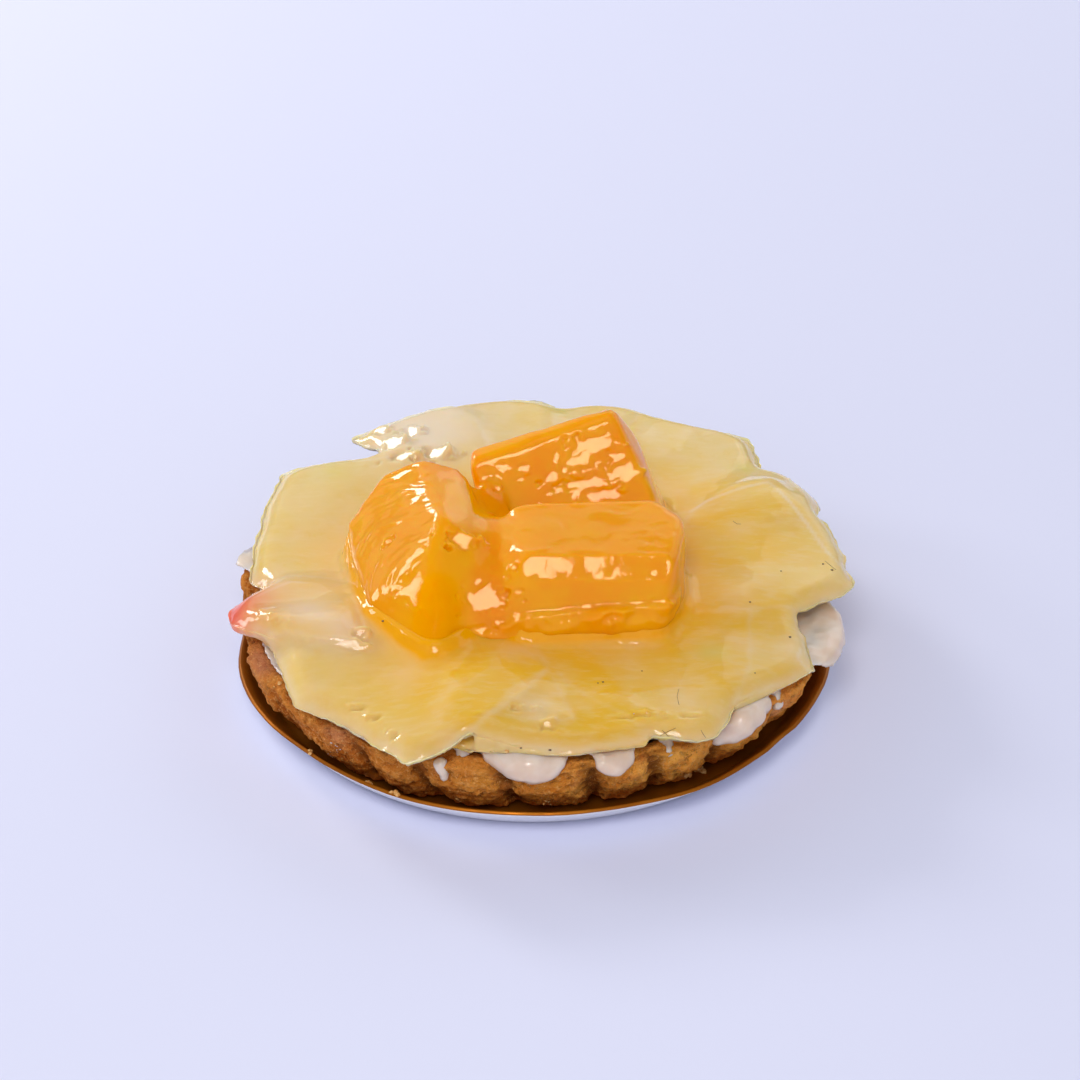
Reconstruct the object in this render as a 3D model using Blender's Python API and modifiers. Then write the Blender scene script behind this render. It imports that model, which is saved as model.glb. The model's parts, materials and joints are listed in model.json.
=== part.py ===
"""A round fruit tart in its shallow card tray.

A fluted shortcrust shell is filled with cream, which wells over its rim in lobes. Thin apple slices fan
out over the cream and sag past the rim, and three blocks of peach lie on them in the middle.
Units are metres, +Z is up, -Y is the front, and the origin is the middle of the tray's flat underside.
"""

import math
import random

import bmesh
import bpy
import numpy as np
from mathutils import Vector, noise
from mathutils.bvhtree import BVHTree

MM = 0.001
GAP = 0.3 * MM  # between pieces that touch
TURN = 2.0 * math.pi
NOISE_GAIN = 1.4  # smooth noise seldom reaches 1, so this brings it up to about its full depth

# Card tray: a flat disc with a low wall that leans outwards.
TRAY_BASE_RADIUS = 37.7 * MM
TRAY_RIM_RADIUS = 42.2 * MM
TRAY_HEIGHT = 4.5 * MM
CARD = 0.5 * MM
TRAY_STEPS = 120
TRAY_FOLD_ROUND = 0.5 * MM  # how far the fold between disc and wall is cut off
# Places where the wall is pushed in, or out if less than nothing: angle, half-width in degrees, depth.
TRAY_DENTS = (
    (-135.0, 20.0, 0.6 * MM),
    (-57.0, 16.0, -0.5 * MM),
    (-37.5, 5.0, 0.3 * MM),
    (0.0, 20.0, 0.6 * MM),
    (178.0, 20.0, 1.2 * MM),
)

# Shortcrust shell, which stands on the tray's disc.
CRUST_BOTTOM_Z = CARD + GAP
CRUST_BOTTOM_RADIUS = 35.2 * MM
CRUST_TOP_RADIUS = 41.4 * MM
CRUST_BELLY = 1.8  # above 1 the wall is full below the rim, at 1 it is a plain cone
# Places where the shell swells out, or in if less than nothing: angle, half-width in degrees, at the
# foot, at the rim.
CRUST_SWELLS = (
    (-171.0, 17.0, -0.5 * MM, -1.0 * MM),
    (-147.0, 26.0, 0.4 * MM, 1.2 * MM),
    (-120.0, 38.0, 1.2 * MM, 0.0),
    (-36.0, 30.0, 0.0, 1.2 * MM),
)
CRUST_RIM_Z = 12.0 * MM
CRUST_RIM_TILT = 0.5 * MM  # the rim is this much higher at the back, and lower at the front
CRUST_RIM_DROP = 0.5 * MM  # from the rim's middle to its outer edge
CRUST_RIM_LUMP = 0.3 * MM
CRUST_RIM_LUMP_SIZE = 0.35  # radians round the rim
CRUST_FLOOR_Z = 4.0 * MM
CRUST_FLOOR_RADIUS = 33.0 * MM
CRUST_MOUTH_RADIUS = 38.0 * MM
CRUST_WALL_ROWS = 6
CRAG = 0.3 * MM  # most that the crumbly surface stands in or out
CRAG_SIZE = 2.6 * MM
# Angles in degrees of the grooves between the flutes that show at the front.
FRONT_GROOVES = (-143.0, -124.0, -111.5, -95.0, -78.5, -66.0, -53.0, -37.5)
OTHER_FLUTES = 17  # they share out the rest of the way round
FLUTE_COLUMNS = 8
FLUTE_DEPTH = 1.8 * MM
FLUTE_UNEVENNESS = 0.22  # share by which one flute's width departs from the mean
FLUTE_MEAN = 0.75  # share of a flute's depth that lies inside the plain wall
FLUTE_FADE = 0.45  # share of the depth that is lost at the rim
FLUTE_SLANT = math.radians(4.0)  # how far the foot of a flute is turned from its top
FLUTE_SEED = 11

# Cream, from the crust's floor to just over its rim.
CREAM_COLUMNS = 120
CREAM_SIDE_GAP = 0.5 * MM
CREAM_EDGE_RADIUS = 39.2 * MM
CREAM_EDGE_WAVE = 0.5 * MM
CREAM_EDGE_WAVE_SIZE = 0.2  # radians round the edge
CREAM_EDGE_ROUND = 0.3 * MM
CREAM_LIP = 0.5 * MM  # height of the cream over the crust's rim
CREAM_SLOPE = 0.5 * MM  # from the top of a lobe's front to its outermost point
CREAM_DISH_Z = 11.6 * MM  # level in the middle, under the fruit
CREAM_DISH_RADIUS = 26.0 * MM
CREAM_LIP_RADIUS = 34.5 * MM
CREAM_CLEAR_RADIUS = 42.2 * MM  # a lobe hangs down outside this
CREAM_LOBE_SKIN = 0.5 * MM
# Lobes that well over the rim: angle, half-width in degrees, reach from the axis, fall below the rim.
CREAM_LOBES = (
    (-91.0, 8.5, 42.8 * MM, 2.1 * MM),
    (-75.5, 5.5, 42.8 * MM, 1.8 * MM),
    (-48.0, 8.0, 42.8 * MM, 1.3 * MM),
    (-17.0, 17.0, 44.2 * MM, 2.0 * MM),
    (28.0, 8.0, 42.8 * MM, 1.4 * MM),
    (76.0, 9.0, 43.2 * MM, 2.2 * MM),
    (118.0, 11.0, 42.8 * MM, 1.4 * MM),
    (171.0, 7.0, 42.8 * MM, 1.8 * MM),
)

# Apple slices: a slice is a four-sided sheet whose corners are given from above, anticlockwise, as
# (angle in degrees, distance from the axis in mm): inner, outer, outer, inner. The bulges in mm are
# those of its first side, outer end, second side and inner end. The last pair is its thickness in mm
# along the first and the second side. They are listed in the order in which they were laid.
SLICES = (
    (
        "apple_slice_right_low",
        ((-8, 21), (-3, 44.0), (18, 42.6), (24, 21)),
        (0, 1.0, 0, 0), (1.5, 1.5),
    ),
    (
        "apple_slice_back_right_low",
        ((60, 15), (68, 47.3), (85, 45.0), (95, 15)),
        (1, 2.8, 1, 0), (1.5, 1.5),
    ),
    (
        "apple_slice_left",
        ((112, 20), (142.5, 46.8), (182, 39.4), (214, 17)),
        (7, 1.0, 3, 0), (1.5, 1.5),
    ),
    (
        "apple_slice_front_right_low",
        ((310, 22), (309, 41.0), (330, 43.3), (366, 22)),
        (0, 0.3, 5.0, 0), (1.4, 1.5),
    ),
    (
        "apple_slice_front",
        ((250, 16), (252, 40.6), (291, 41.6), (290, 16)),
        (0, 2.2, 0, 0), (1.4, 1.5),
    ),
    (
        "apple_slice_right_back",
        ((14, 20), (17, 42.2), (37, 44.8), (46, 17)),
        (0, 2.2, 0, 0), (1.5, 1.5),
    ),
    (
        "apple_slice_back_left_low",
        ((78, 15), (86, 44.8), (104, 47.0), (112, 15)),
        (0, 2.5, 0, 0), (1.5, 1.5),
    ),
    (
        "apple_slice_back_right",
        ((30, 20), (48.3, 48.9), (68.5, 45.6), (74, 16)),
        (7, 0.3, 0, 0), (1.6, 1.5),
    ),
    (
        "apple_slice_back_left",
        ((100, 17), (103, 46.0), (127, 45.4), (120, 22)),
        (0, 1.6, 0, 0), (1.6, 1.7),
    ),
    (
        "apple_slice_front_right",
        ((270, 21), (293, 42.0), (302, 44.6), (342, 30)),
        (2, 0.2, 2.5, 0), (1.5, 1.6),
    ),
    (
        "apple_slice_front_top",
        ((244, 25), (256, 37.5), (278, 36.5), (272, 23)),
        (1, 0.5, 0, 0), (1.3, 1.3),
    ),
    (
        "apple_slice_front_left",
        ((203, 39.8), (223, 43.5), (249.3, 46.6), (274, 26.1)),
        (-0.5, -1.3, 3, 8.5), (1.5, 1.5),
    ),
    (
        "apple_wedge_red_tip",
        ((192, 25), (191, 41.7), (198.5, 42.8), (222, 31)),
        (3.5, 0.8, 2.0, 0), (1.6, 3.4),
    ),
    (
        "apple_slice_right",
        ((328, 25), (355, 44.9), (390, 40.4), (380, 22)),
        (3.3, 0.4, 2.2, 0), (1.6, 1.6),
    ),
)
SLICE_ROWS = 8  # along the slice
SLICE_COLUMNS = 6  # across it
SLICE_EDGE_SHARE = 0.7  # thickness left at the edge
SLICE_EDGE_NICKS = 0.35 * MM
SLICE_RELIEF = 0.15 * MM
SLICE_RELIEF_SIZE = 6.0 * MM
SLICE_SAG = 0.6  # fall for each unit that a slice reaches past the rim
SLICE_SEED = 100
SETTLE_STEPS = 4  # each side of a triangle is tested at this many steps
SETTLE_TURNS = 160
SETTLE_DROP = 0.04 * MM
SETTLE_SMOOTHING = 0.5
PROBE_Z = 100.0 * MM  # well above the tart

# Peach blocks, each cut to the corners given here in mm.
PEACH_BED_Z = 17.1  # mm, the flat that the blocks rest on
PEACH_FLAT_ANGLE = math.radians(4.0)  # sides that meet at less than this are taken as one
PEACH_ROUNDING = 1.3 * MM
PEACH_ROUNDING_STEPS = 3
PEACH_RELIEF = 0.12 * MM
PEACH_RELIEF_SIZE = 3.5 * MM
PEACHES = {
    "peach_block_left": (
        ((-26.0, 3.6), (-22.6, -13.8), (-14.8, -24.0), (-11.8, -24.0),
         (-5.0, -14.0), (-9.5, 6.5), (-17.0, 10.2)),
        ((-26.7, 4.2, 19.6), (-22.4, -13.0, 18.6), (-21.1, 8.4, 25.8), (-15.8, 7.4, 29.1),
         (-12.2, -10.8, 29.6), (-9.4, 6.0, 28.0), (-7.8, -8.6, 27.9), (-4.7, -8.7, 24.2)),
    ),
    "peach_block_front": (
        ((-2.8, -20.4), (17.2, -19.4), (20.6, -13.4), (20.0, -3.6), (-3.6, -5.0)),
        ((-4.2, -2.9, 28.2), (16.8, -0.9, 28.2), (21.0, -6.3, 27.7),
         (19.0, -15.9, 26.8), (-3.3, -16.2, 27.3)),
    ),
    "peach_block_back": (
        ((-6.5, 1.2), (20.4, 1.4), (19.0, 14.0), (12.5, 21.0), (-8.0, 15.5)),
        ((-9.2, 8.3, 27.4), (11.4, 12.8, 32.8), (-9.0, 11.8, 27.9),
         (11.2, 15.2, 33.0), (14.5, 15.8, 28.3)),
    ),
}

COLOURS = {
    "card_gold": (0.46, 0.20, 0.03),
    "shortcrust": (0.42, 0.20, 0.07),
    "cream": (0.86, 0.78, 0.66),
    "apple": (0.80, 0.62, 0.22),
    "peach": (0.90, 0.38, 0.02),
}
ROUGHNESS = {"card_gold": 0.3, "shortcrust": 0.85, "cream": 0.35, "apple": 0.12, "peach": 0.1}
METALLIC = {"card_gold": 0.9}


def on_circle(angle, radius, z=0.0):
    """The point at an angle in radians and a distance from the axis."""
    return Vector((radius * math.cos(angle), radius * math.sin(angle), z))


def turn_between(angle, centre):
    """The signed angle in degrees from one direction to another."""
    return (angle - centre + 180.0) % 360.0 - 180.0


def mound(angle, centre, half_width):
    """1 at the centre of a bump round the rim, falling smoothly to 0 at its half-width."""
    share = abs(turn_between(angle, centre)) / half_width
    return 0.5 + 0.5 * math.cos(math.pi * share) if share < 1.0 else 0.0


def on_shell(angle, radius, z):
    """The point at an angle in radians and a distance from the axis, moved as the shell swells there."""
    up = max(0.0, min(1.0, (z - CRUST_BOTTOM_Z) / (CRUST_RIM_Z - CRUST_BOTTOM_Z)))
    for centre, half_width, at_foot, at_rim in CRUST_SWELLS:
        radius += mound(math.degrees(angle), centre, half_width) * (at_foot + (at_rim - at_foot) * up)
    return on_circle(angle, radius, z)


def relief(point, size, depth, seed):
    """Smooth unevenness of at most the given depth, on lumps of the given size."""
    value = noise.noise(point / size + Vector((seed, 0.0, 0.0)))
    return depth * max(-1.0, min(1.0, NOISE_GAIN * value))


def start_afresh():
    """Removes what the scene holds and returns a collection for the tart."""
    for obj in list(bpy.data.objects):
        bpy.data.objects.remove(obj, do_unlink=True)
    tart = bpy.data.collections.new("fruit_tart")
    bpy.context.scene.collection.children.link(tart)
    return tart


def material(name):
    """A Principled material with the colour of the real surface."""
    found = bpy.data.materials.get(name)
    if found:
        return found
    made = bpy.data.materials.new(name)
    made.use_nodes = True
    shader = made.node_tree.nodes["Principled BSDF"]
    shader.inputs["Base Color"].default_value = (*COLOURS[name], 1.0)
    shader.inputs["Roughness"].default_value = ROUGHNESS[name]
    shader.inputs["Metallic"].default_value = METALLIC.get(name, 0.0)
    return made


def add_object(tart, name, mesh, finish, sharp_degrees=40.0):
    """Puts a mesh into the tart as a named, smooth-shaded object."""
    mesh.shade_smooth()
    mesh.set_sharp_from_angle(angle=math.radians(sharp_degrees))
    obj = bpy.data.objects.new(name, mesh)
    obj.data.materials.clear()
    obj.data.materials.append(material(finish))
    tart.objects.link(obj)
    return obj


def turned_mesh(name, profile, steps, wall=None):
    """The mesh of a profile of (radius, height) turned about Z, with a wall thickness if it is open."""
    mesh = bpy.data.meshes.new(name)
    points = [(radius, 0.0, height) for radius, height in profile]
    mesh.from_pydata(points, [(i, i + 1) for i in range(len(points) - 1)], [])
    obj = bpy.data.objects.new(name + "_profile", mesh)
    bpy.context.scene.collection.objects.link(obj)
    screw = obj.modifiers.new("turn", "SCREW")
    screw.axis = "Z"
    screw.steps = screw.render_steps = steps
    screw.use_merge_vertices = True
    screw.merge_threshold = 0.01 * MM
    screw.use_normal_calculate = True
    if wall:
        thick = obj.modifiers.new("wall", "SOLIDIFY")
        thick.thickness = wall
        thick.offset = -1.0
        thick.use_even_offset = True
    graph = bpy.context.evaluated_depsgraph_get()
    turned = bpy.data.meshes.new_from_object(obj.evaluated_get(graph))
    turned.name = name
    bpy.data.objects.remove(obj, do_unlink=True)
    bpy.data.meshes.remove(mesh)
    return turned


def face_outwards(mesh):
    """Turns every face of a closed mesh to face out."""
    work = bmesh.new()
    work.from_mesh(mesh)
    bmesh.ops.recalc_face_normals(work, faces=work.faces)
    work.to_mesh(mesh)
    work.free()


# ---------------------------------------------------------------- tray

def dented(x, y, z):
    """Where a point of the plain tray lies once the wall is dented."""
    angle = math.degrees(math.atan2(y, x))
    up_the_wall = max(0.0, min(1.0, (z - CARD) / (TRAY_HEIGHT - CARD)))
    push = sum(depth * mound(angle, at, width) for at, width, depth in TRAY_DENTS)
    radius = math.hypot(x, y)
    share = 1.0 - push * up_the_wall / radius if radius > 0.0 else 1.0
    return x * share, y * share, z


def make_tray(tart):
    """The card tray: a disc and its leaning wall, turned and given the card's thickness."""
    profile = (
        (0.0, 0.0),
        (TRAY_BASE_RADIUS - TRAY_FOLD_ROUND, 0.0),
        (TRAY_BASE_RADIUS + 0.7 * TRAY_FOLD_ROUND, 0.5 * TRAY_FOLD_ROUND),
        (TRAY_RIM_RADIUS, TRAY_HEIGHT),
    )
    mesh = turned_mesh("card_tray", profile, TRAY_STEPS, wall=CARD)
    for vertex in mesh.vertices:
        vertex.co = dented(*vertex.co)
    face_outwards(mesh)
    return add_object(tart, "card_tray", mesh, "card_gold")


# ---------------------------------------------------------------- crust

def flute_starts():
    """Angles at which the flutes begin, in radians, with one more for where the last one ends."""
    draw = random.Random(FLUTE_SEED)
    starts = list(FRONT_GROOVES)
    left = 360.0 - (FRONT_GROOVES[-1] - FRONT_GROOVES[0])
    widths = [1.0 + FLUTE_UNEVENNESS * draw.uniform(-1.0, 1.0) for _ in range(OTHER_FLUTES)]
    for width in widths:
        starts.append(starts[-1] + left * width / sum(widths))
    return [math.radians(start) for start in starts]


def wall_radius(up):
    """Outer radius of the plain wall at a share of its height."""
    spread = 1.0 - (1.0 - up) ** CRUST_BELLY
    return CRUST_BOTTOM_RADIUS + (CRUST_TOP_RADIUS - CRUST_BOTTOM_RADIUS) * spread


def rim_height(angle):
    """Height of the crust's rim, without its crags, at an angle in radians."""
    lumps = relief(on_circle(angle, 1.0), CRUST_RIM_LUMP_SIZE, CRUST_RIM_LUMP, 5.0)
    return CRUST_RIM_Z + CRUST_RIM_TILT * math.sin(angle) + lumps


def crust_profile():
    """The plain shell as (radius, height), from the middle of its floor over the rim and under it."""
    wall = []
    for row in range(CRUST_WALL_ROWS + 1):
        up = 1.0 - row / CRUST_WALL_ROWS
        wall.append((wall_radius(up), CRUST_BOTTOM_Z + (CRUST_RIM_Z - CRUST_BOTTOM_Z) * up))
    return [
        (0.0, CRUST_FLOOR_Z),
        (CRUST_FLOOR_RADIUS, CRUST_FLOOR_Z),
        (CRUST_MOUTH_RADIUS, CRUST_RIM_Z),
        (0.5 * (CRUST_MOUTH_RADIUS + CRUST_TOP_RADIUS), CRUST_RIM_Z),
        *wall,
        (0.0, CRUST_BOTTOM_Z),
    ]


def make_crust(tart):
    """The shell: a turned wall and floor, then fluted and roughened."""
    starts = flute_starts()
    flutes = len(starts) - 1
    mesh = turned_mesh("crust_shell", crust_profile(), flutes * FLUTE_COLUMNS)
    for vertex in mesh.vertices:
        x, y, z = vertex.co
        radius = math.hypot(x, y)
        if radius < 0.1 * MM:
            continue
        column = round(math.atan2(y, x) % TURN / TURN * flutes * FLUTE_COLUMNS)
        flute, place = divmod(column % (flutes * FLUTE_COLUMNS), FLUTE_COLUMNS)
        share = place / FLUTE_COLUMNS
        angle = starts[flute] + share * (starts[flute + 1] - starts[flute])
        up = min(1.0, (z - CRUST_BOTTOM_Z) / (CRUST_RIM_Z - CRUST_BOTTOM_Z))
        on_outside = radius > wall_radius(up) - 0.01 * MM
        if up > 0.99:
            z = rim_height(angle) + relief(vertex.co, CRAG_SIZE, CRAG, 1.0)
            z -= CRUST_RIM_DROP if on_outside else 0.0
        if on_outside:
            scallop = math.sqrt(math.sin(math.pi * share)) - FLUTE_MEAN
            strength = 1.0 - FLUTE_FADE * up * up
            radius += FLUTE_DEPTH * strength * scallop + relief(vertex.co, CRAG_SIZE, CRAG, 9.0)
            angle += FLUTE_SLANT * (0.5 - up)
            if 0.01 < up < 0.99:
                z += relief(vertex.co, CRAG_SIZE, CRAG, 17.0)
        vertex.co = on_shell(angle, radius, z)
    face_outwards(mesh)
    return add_object(tart, "crust_shell", mesh, "shortcrust")


# ---------------------------------------------------------------- cream

def cream_edge(angle):
    """How far the cream reaches at an angle in radians, and how far it falls past the rim there."""
    wave = relief(on_circle(angle, 1.0), CREAM_EDGE_WAVE_SIZE, CREAM_EDGE_WAVE, 3.0)
    reach, fall = CREAM_EDGE_RADIUS + wave, 0.0
    for centre, half_width, lobe_reach, lobe_fall in CREAM_LOBES:
        share = math.sqrt(mound(math.degrees(angle), centre, half_width))
        reach = max(reach, CREAM_EDGE_RADIUS + share * (lobe_reach - CREAM_EDGE_RADIUS))
        fall = max(fall, share * lobe_fall)
    past_crust = max(0.0, reach - CREAM_CLEAR_RADIUS)
    return reach, fall * min(1.0, past_crust / CREAM_LOBE_SKIN)


def cream_section(angle):
    """The cream's outline at an angle in radians, as (radius, height) from the axis round to the axis."""
    under = rim_height(angle) + CRAG + GAP
    reach, fall = cream_edge(angle)
    turn_down = min(reach - CREAM_EDGE_ROUND, CREAM_CLEAR_RADIUS)
    return (
        (CRUST_FLOOR_RADIUS - CREAM_SIDE_GAP, CRUST_FLOOR_Z + GAP),
        (CRUST_MOUTH_RADIUS - CREAM_SIDE_GAP, under),
        (turn_down, under),
        (reach, under - fall),
        (reach + CREAM_EDGE_ROUND, under - fall + CREAM_EDGE_ROUND),
        (max(reach - CREAM_SLOPE, turn_down), under + CREAM_LIP),
        (CREAM_LIP_RADIUS, under + CREAM_LIP),
        (CREAM_DISH_RADIUS, CREAM_DISH_Z),
    )


def make_cream(tart):
    """The cream: its outline at each angle, lofted all the way round."""
    work = bmesh.new()
    foot = work.verts.new((0.0, 0.0, CRUST_FLOOR_Z + GAP))
    crown = work.verts.new((0.0, 0.0, CREAM_DISH_Z))
    rings = []
    for column in range(CREAM_COLUMNS):
        angle = TURN * column / CREAM_COLUMNS
        rings.append([work.verts.new(on_shell(angle, *point)) for point in cream_section(angle)])
    for column, ring in enumerate(rings):
        following = rings[(column + 1) % CREAM_COLUMNS]
        work.faces.new((foot, following[0], ring[0]))
        work.faces.new((crown, ring[-1], following[-1]))
        for row in range(len(ring) - 1):
            work.faces.new((ring[row], following[row], following[row + 1], ring[row + 1]))
    bmesh.ops.recalc_face_normals(work, faces=work.faces)
    mesh = bpy.data.meshes.new("cream_filling")
    work.to_mesh(mesh)
    work.free()
    return add_object(tart, "cream_filling", mesh, "cream")


# ---------------------------------------------------------------- apple slices

def bowed(start, end, bulge, share, side):
    """A point along a bowed edge. side is 1 where the bulge goes to the right of its way, -1 to the left."""
    along = end - start
    across = Vector((along.y, -along.x, 0.0)).normalized() * side
    return start.lerp(end, share) + across * (bulge * 4.0 * share * (1.0 - share))


def slice_point(corners, bulges, u, v):
    """The point of a slice's sheet at u, from its inner to its outer end, and v, from side to side."""
    inner_a, outer_a, outer_b, inner_b = corners
    side_a = bowed(inner_a, outer_a, bulges[0], u, 1.0)
    side_b = bowed(inner_b, outer_b, bulges[2], u, -1.0)
    outer = bowed(outer_a, outer_b, bulges[1], v, 1.0)
    inner = bowed(inner_a, inner_b, bulges[3], v, -1.0)
    blend = inner_a.lerp(outer_a, u).lerp(inner_b.lerp(outer_b, u), v)
    return side_a.lerp(side_b, v) + inner.lerp(outer, u) - blend


def slice_grid(corners, bulges, draw):
    """Points of a slice from above, row by row from its inner end, with a nicked edge."""
    points = []
    for row in range(SLICE_ROWS + 1):
        for column in range(SLICE_COLUMNS + 1):
            point = slice_point(corners, bulges, row / SLICE_ROWS, column / SLICE_COLUMNS)
            if row in (0, SLICE_ROWS) or column in (0, SLICE_COLUMNS):
                nick = SLICE_EDGE_NICKS * draw.uniform(-1.0, 1.0)
                point += point.normalized() * nick
            points.append(point)
    return points


def grid_triangles(rows, columns):
    """The triangles of a grid of points, facing up."""
    wide = columns + 1
    found = []
    for row in range(rows):
        for column in range(columns):
            near = row * wide + column
            far = near + wide
            found.append((near, far, far + 1))
            found.append((near, far + 1, near + 1))
    return found


def grid_border(rows, columns):
    """The points round a grid's edge, anticlockwise from above."""
    wide = columns + 1
    side_a = [row * wide for row in range(rows)]
    outer = [rows * wide + column for column in range(columns)]
    side_b = [row * wide + columns for row in range(rows, 0, -1)]
    inner = list(range(columns, 0, -1))
    return side_a + outer + side_b + inner


def support_height(x, y, trees):
    """Height at which a slice just clears what lies under a point, or sags past the rim."""
    above = Vector((x, y, PROBE_Z))
    down = Vector((0.0, 0.0, -1.0))
    past_rim = math.hypot(x, y) - CRUST_TOP_RADIUS
    height = CRUST_RIM_Z + GAP - SLICE_SAG * max(0.0, past_rim)
    for tree in trees:
        hit = tree.ray_cast(above, down)[0]
        if hit:
            height = max(height, hit.z + GAP)
    return height


def settle(points, triangles, trees):
    """Heights at which a limp sheet comes to rest on what lies under it."""
    steps = SETTLE_STEPS
    shares = [(a / steps, b / steps) for a in range(steps + 1) for b in range(steps + 1 - a)]
    weights = np.zeros((len(triangles) * len(shares), len(points)))
    for number, triangle in enumerate(triangles):
        for place, (a, b) in enumerate(shares):
            row = number * len(shares) + place
            for corner, share in zip(triangle, (a, b, 1.0 - a - b)):
                weights[row, corner] += share
    flat = np.array([(point.x, point.y) for point in points])
    needed = np.array([support_height(x, y, trees) for x, y in weights @ flat])
    linked = np.zeros((len(points), len(points)))
    for a, b, c in triangles:
        for one, other in ((a, b), (b, c), (c, a)):
            linked[one, other] = linked[other, one] = 1.0
    linked /= linked.sum(axis=1, keepdims=True)
    touches = weights > 0.0
    heights = np.full(len(points), needed.max())
    for _ in range(SETTLE_TURNS):
        heights += SETTLE_SMOOTHING * (linked @ heights - heights) - SETTLE_DROP
        short = needed - weights @ heights
        heights += np.maximum(0.0, np.where(touches, short[:, None], 0.0).max(axis=0))
    return heights


def make_slice(tart, spec, number, trees):
    """One apple slice: its sheet laid on what is under it, and given its thickness."""
    name, corners, bulges, thickness = spec
    draw = random.Random(SLICE_SEED + number)
    corners = [on_circle(math.radians(angle), radius * MM) for angle, radius in corners]
    points = slice_grid(corners, [bulge * MM for bulge in bulges], draw)
    triangles = grid_triangles(SLICE_ROWS, SLICE_COLUMNS)
    border = grid_border(SLICE_ROWS, SLICE_COLUMNS)
    heights = settle(points, triangles, trees)
    count = len(points)
    lower = [Vector((point.x, point.y, height)) for point, height in zip(points, heights)]
    upper = []
    for index, point in enumerate(lower):
        across = index % (SLICE_COLUMNS + 1) / SLICE_COLUMNS
        thick = (thickness[0] + (thickness[1] - thickness[0]) * across) * MM
        if index in border:
            thick *= SLICE_EDGE_SHARE
        thick += relief(point, SLICE_RELIEF_SIZE, SLICE_RELIEF, float(number))
        upper.append(point + Vector((0.0, 0.0, thick)))
    faces = [tuple(count + corner for corner in triangle) for triangle in triangles]
    faces += [tuple(reversed(triangle)) for triangle in triangles]
    for here, there in zip(border, border[1:] + border[:1]):
        faces.append((here, there, count + there, count + here))
    mesh = bpy.data.meshes.new(name)
    mesh.from_pydata(lower + upper, [], faces)
    face_outwards(mesh)
    return add_object(tart, name, mesh, "apple", sharp_degrees=55.0)


# ---------------------------------------------------------------- peach blocks

def make_peach(tart, name, foot, top):
    """One block of peach: the hull of its corners, with rounded edges and a little unevenness."""
    work = bmesh.new()
    for x, y in foot:
        work.verts.new(Vector((x, y, PEACH_BED_Z)) * MM)
    for corner in top:
        work.verts.new(Vector(corner) * MM)
    hull = bmesh.ops.convex_hull(work, input=work.verts)
    bmesh.ops.delete(work, geom=[g for g in hull["geom_interior"] if g.is_valid], context="VERTS")
    bmesh.ops.dissolve_limit(work, angle_limit=PEACH_FLAT_ANGLE, verts=work.verts, edges=work.edges)
    bmesh.ops.bevel(
        work, geom=work.edges, offset=PEACH_ROUNDING, offset_type="OFFSET",
        segments=PEACH_ROUNDING_STEPS, profile=0.5, affect="EDGES", clamp_overlap=True,
    )
    bmesh.ops.triangulate(work, faces=work.faces)
    for vertex in work.verts:
        if vertex.co.z > (PEACH_BED_Z + 0.1) * MM:
            depth = relief(vertex.co, PEACH_RELIEF_SIZE, PEACH_RELIEF, 30.0)
            vertex.co -= vertex.normal * (depth + PEACH_RELIEF)
    bmesh.ops.recalc_face_normals(work, faces=work.faces)
    mesh = bpy.data.meshes.new(name)
    work.to_mesh(mesh)
    work.free()
    return add_object(tart, name, mesh, "peach")


def tree_of(obj):
    """A search tree of an object's faces."""
    mesh = obj.data
    return BVHTree.FromPolygons([v.co for v in mesh.vertices], [tuple(p.vertices) for p in mesh.polygons])


def main():
    """Builds the tart from the tray upwards."""
    tart = start_afresh()
    make_tray(tart)
    trees = [tree_of(make_crust(tart)), tree_of(make_cream(tart))]
    for number, spec in enumerate(SLICES):
        trees.append(tree_of(make_slice(tart, spec, number, trees)))
    for name, (foot, top) in PEACHES.items():
        make_peach(tart, name, foot, top)


main()
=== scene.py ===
"""Looks of the fruit tart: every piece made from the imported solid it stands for, then finished.

Units are metres, +Z is up and -Y is the front. Lengths named below are in metres unless they say mm.
"""

import itertools
import json
import math

import bmesh
import bpy
import numpy as np
from mathutils import Matrix, Vector
from mathutils.bvhtree import BVHTree


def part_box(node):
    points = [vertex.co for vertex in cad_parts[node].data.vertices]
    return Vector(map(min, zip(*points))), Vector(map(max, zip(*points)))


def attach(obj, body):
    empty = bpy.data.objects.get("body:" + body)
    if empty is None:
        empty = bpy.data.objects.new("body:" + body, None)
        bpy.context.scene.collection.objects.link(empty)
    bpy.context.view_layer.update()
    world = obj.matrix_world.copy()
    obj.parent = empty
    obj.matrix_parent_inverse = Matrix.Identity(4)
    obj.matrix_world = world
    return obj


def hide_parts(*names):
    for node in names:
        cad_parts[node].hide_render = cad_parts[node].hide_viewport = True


MM = 0.001
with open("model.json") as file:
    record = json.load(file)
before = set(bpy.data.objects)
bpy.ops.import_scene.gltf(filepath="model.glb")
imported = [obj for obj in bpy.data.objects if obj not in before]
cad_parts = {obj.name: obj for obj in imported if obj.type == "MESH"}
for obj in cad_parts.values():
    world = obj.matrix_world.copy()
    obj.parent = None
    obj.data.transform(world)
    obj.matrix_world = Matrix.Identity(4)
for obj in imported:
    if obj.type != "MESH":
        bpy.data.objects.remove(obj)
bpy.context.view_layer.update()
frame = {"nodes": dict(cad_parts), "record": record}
RECORD_SLOTS = {entry["node"]: entry["material_slot"] for entry in frame["record"]["subparts"]}
APPLES = sorted(node for node, slot in RECORD_SLOTS.items() if slot == "apple")
PEACHES = sorted(node for node, slot in RECORD_SLOTS.items() if slot == "peach")

# ---------------------------------------------------------------- camera and light

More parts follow.
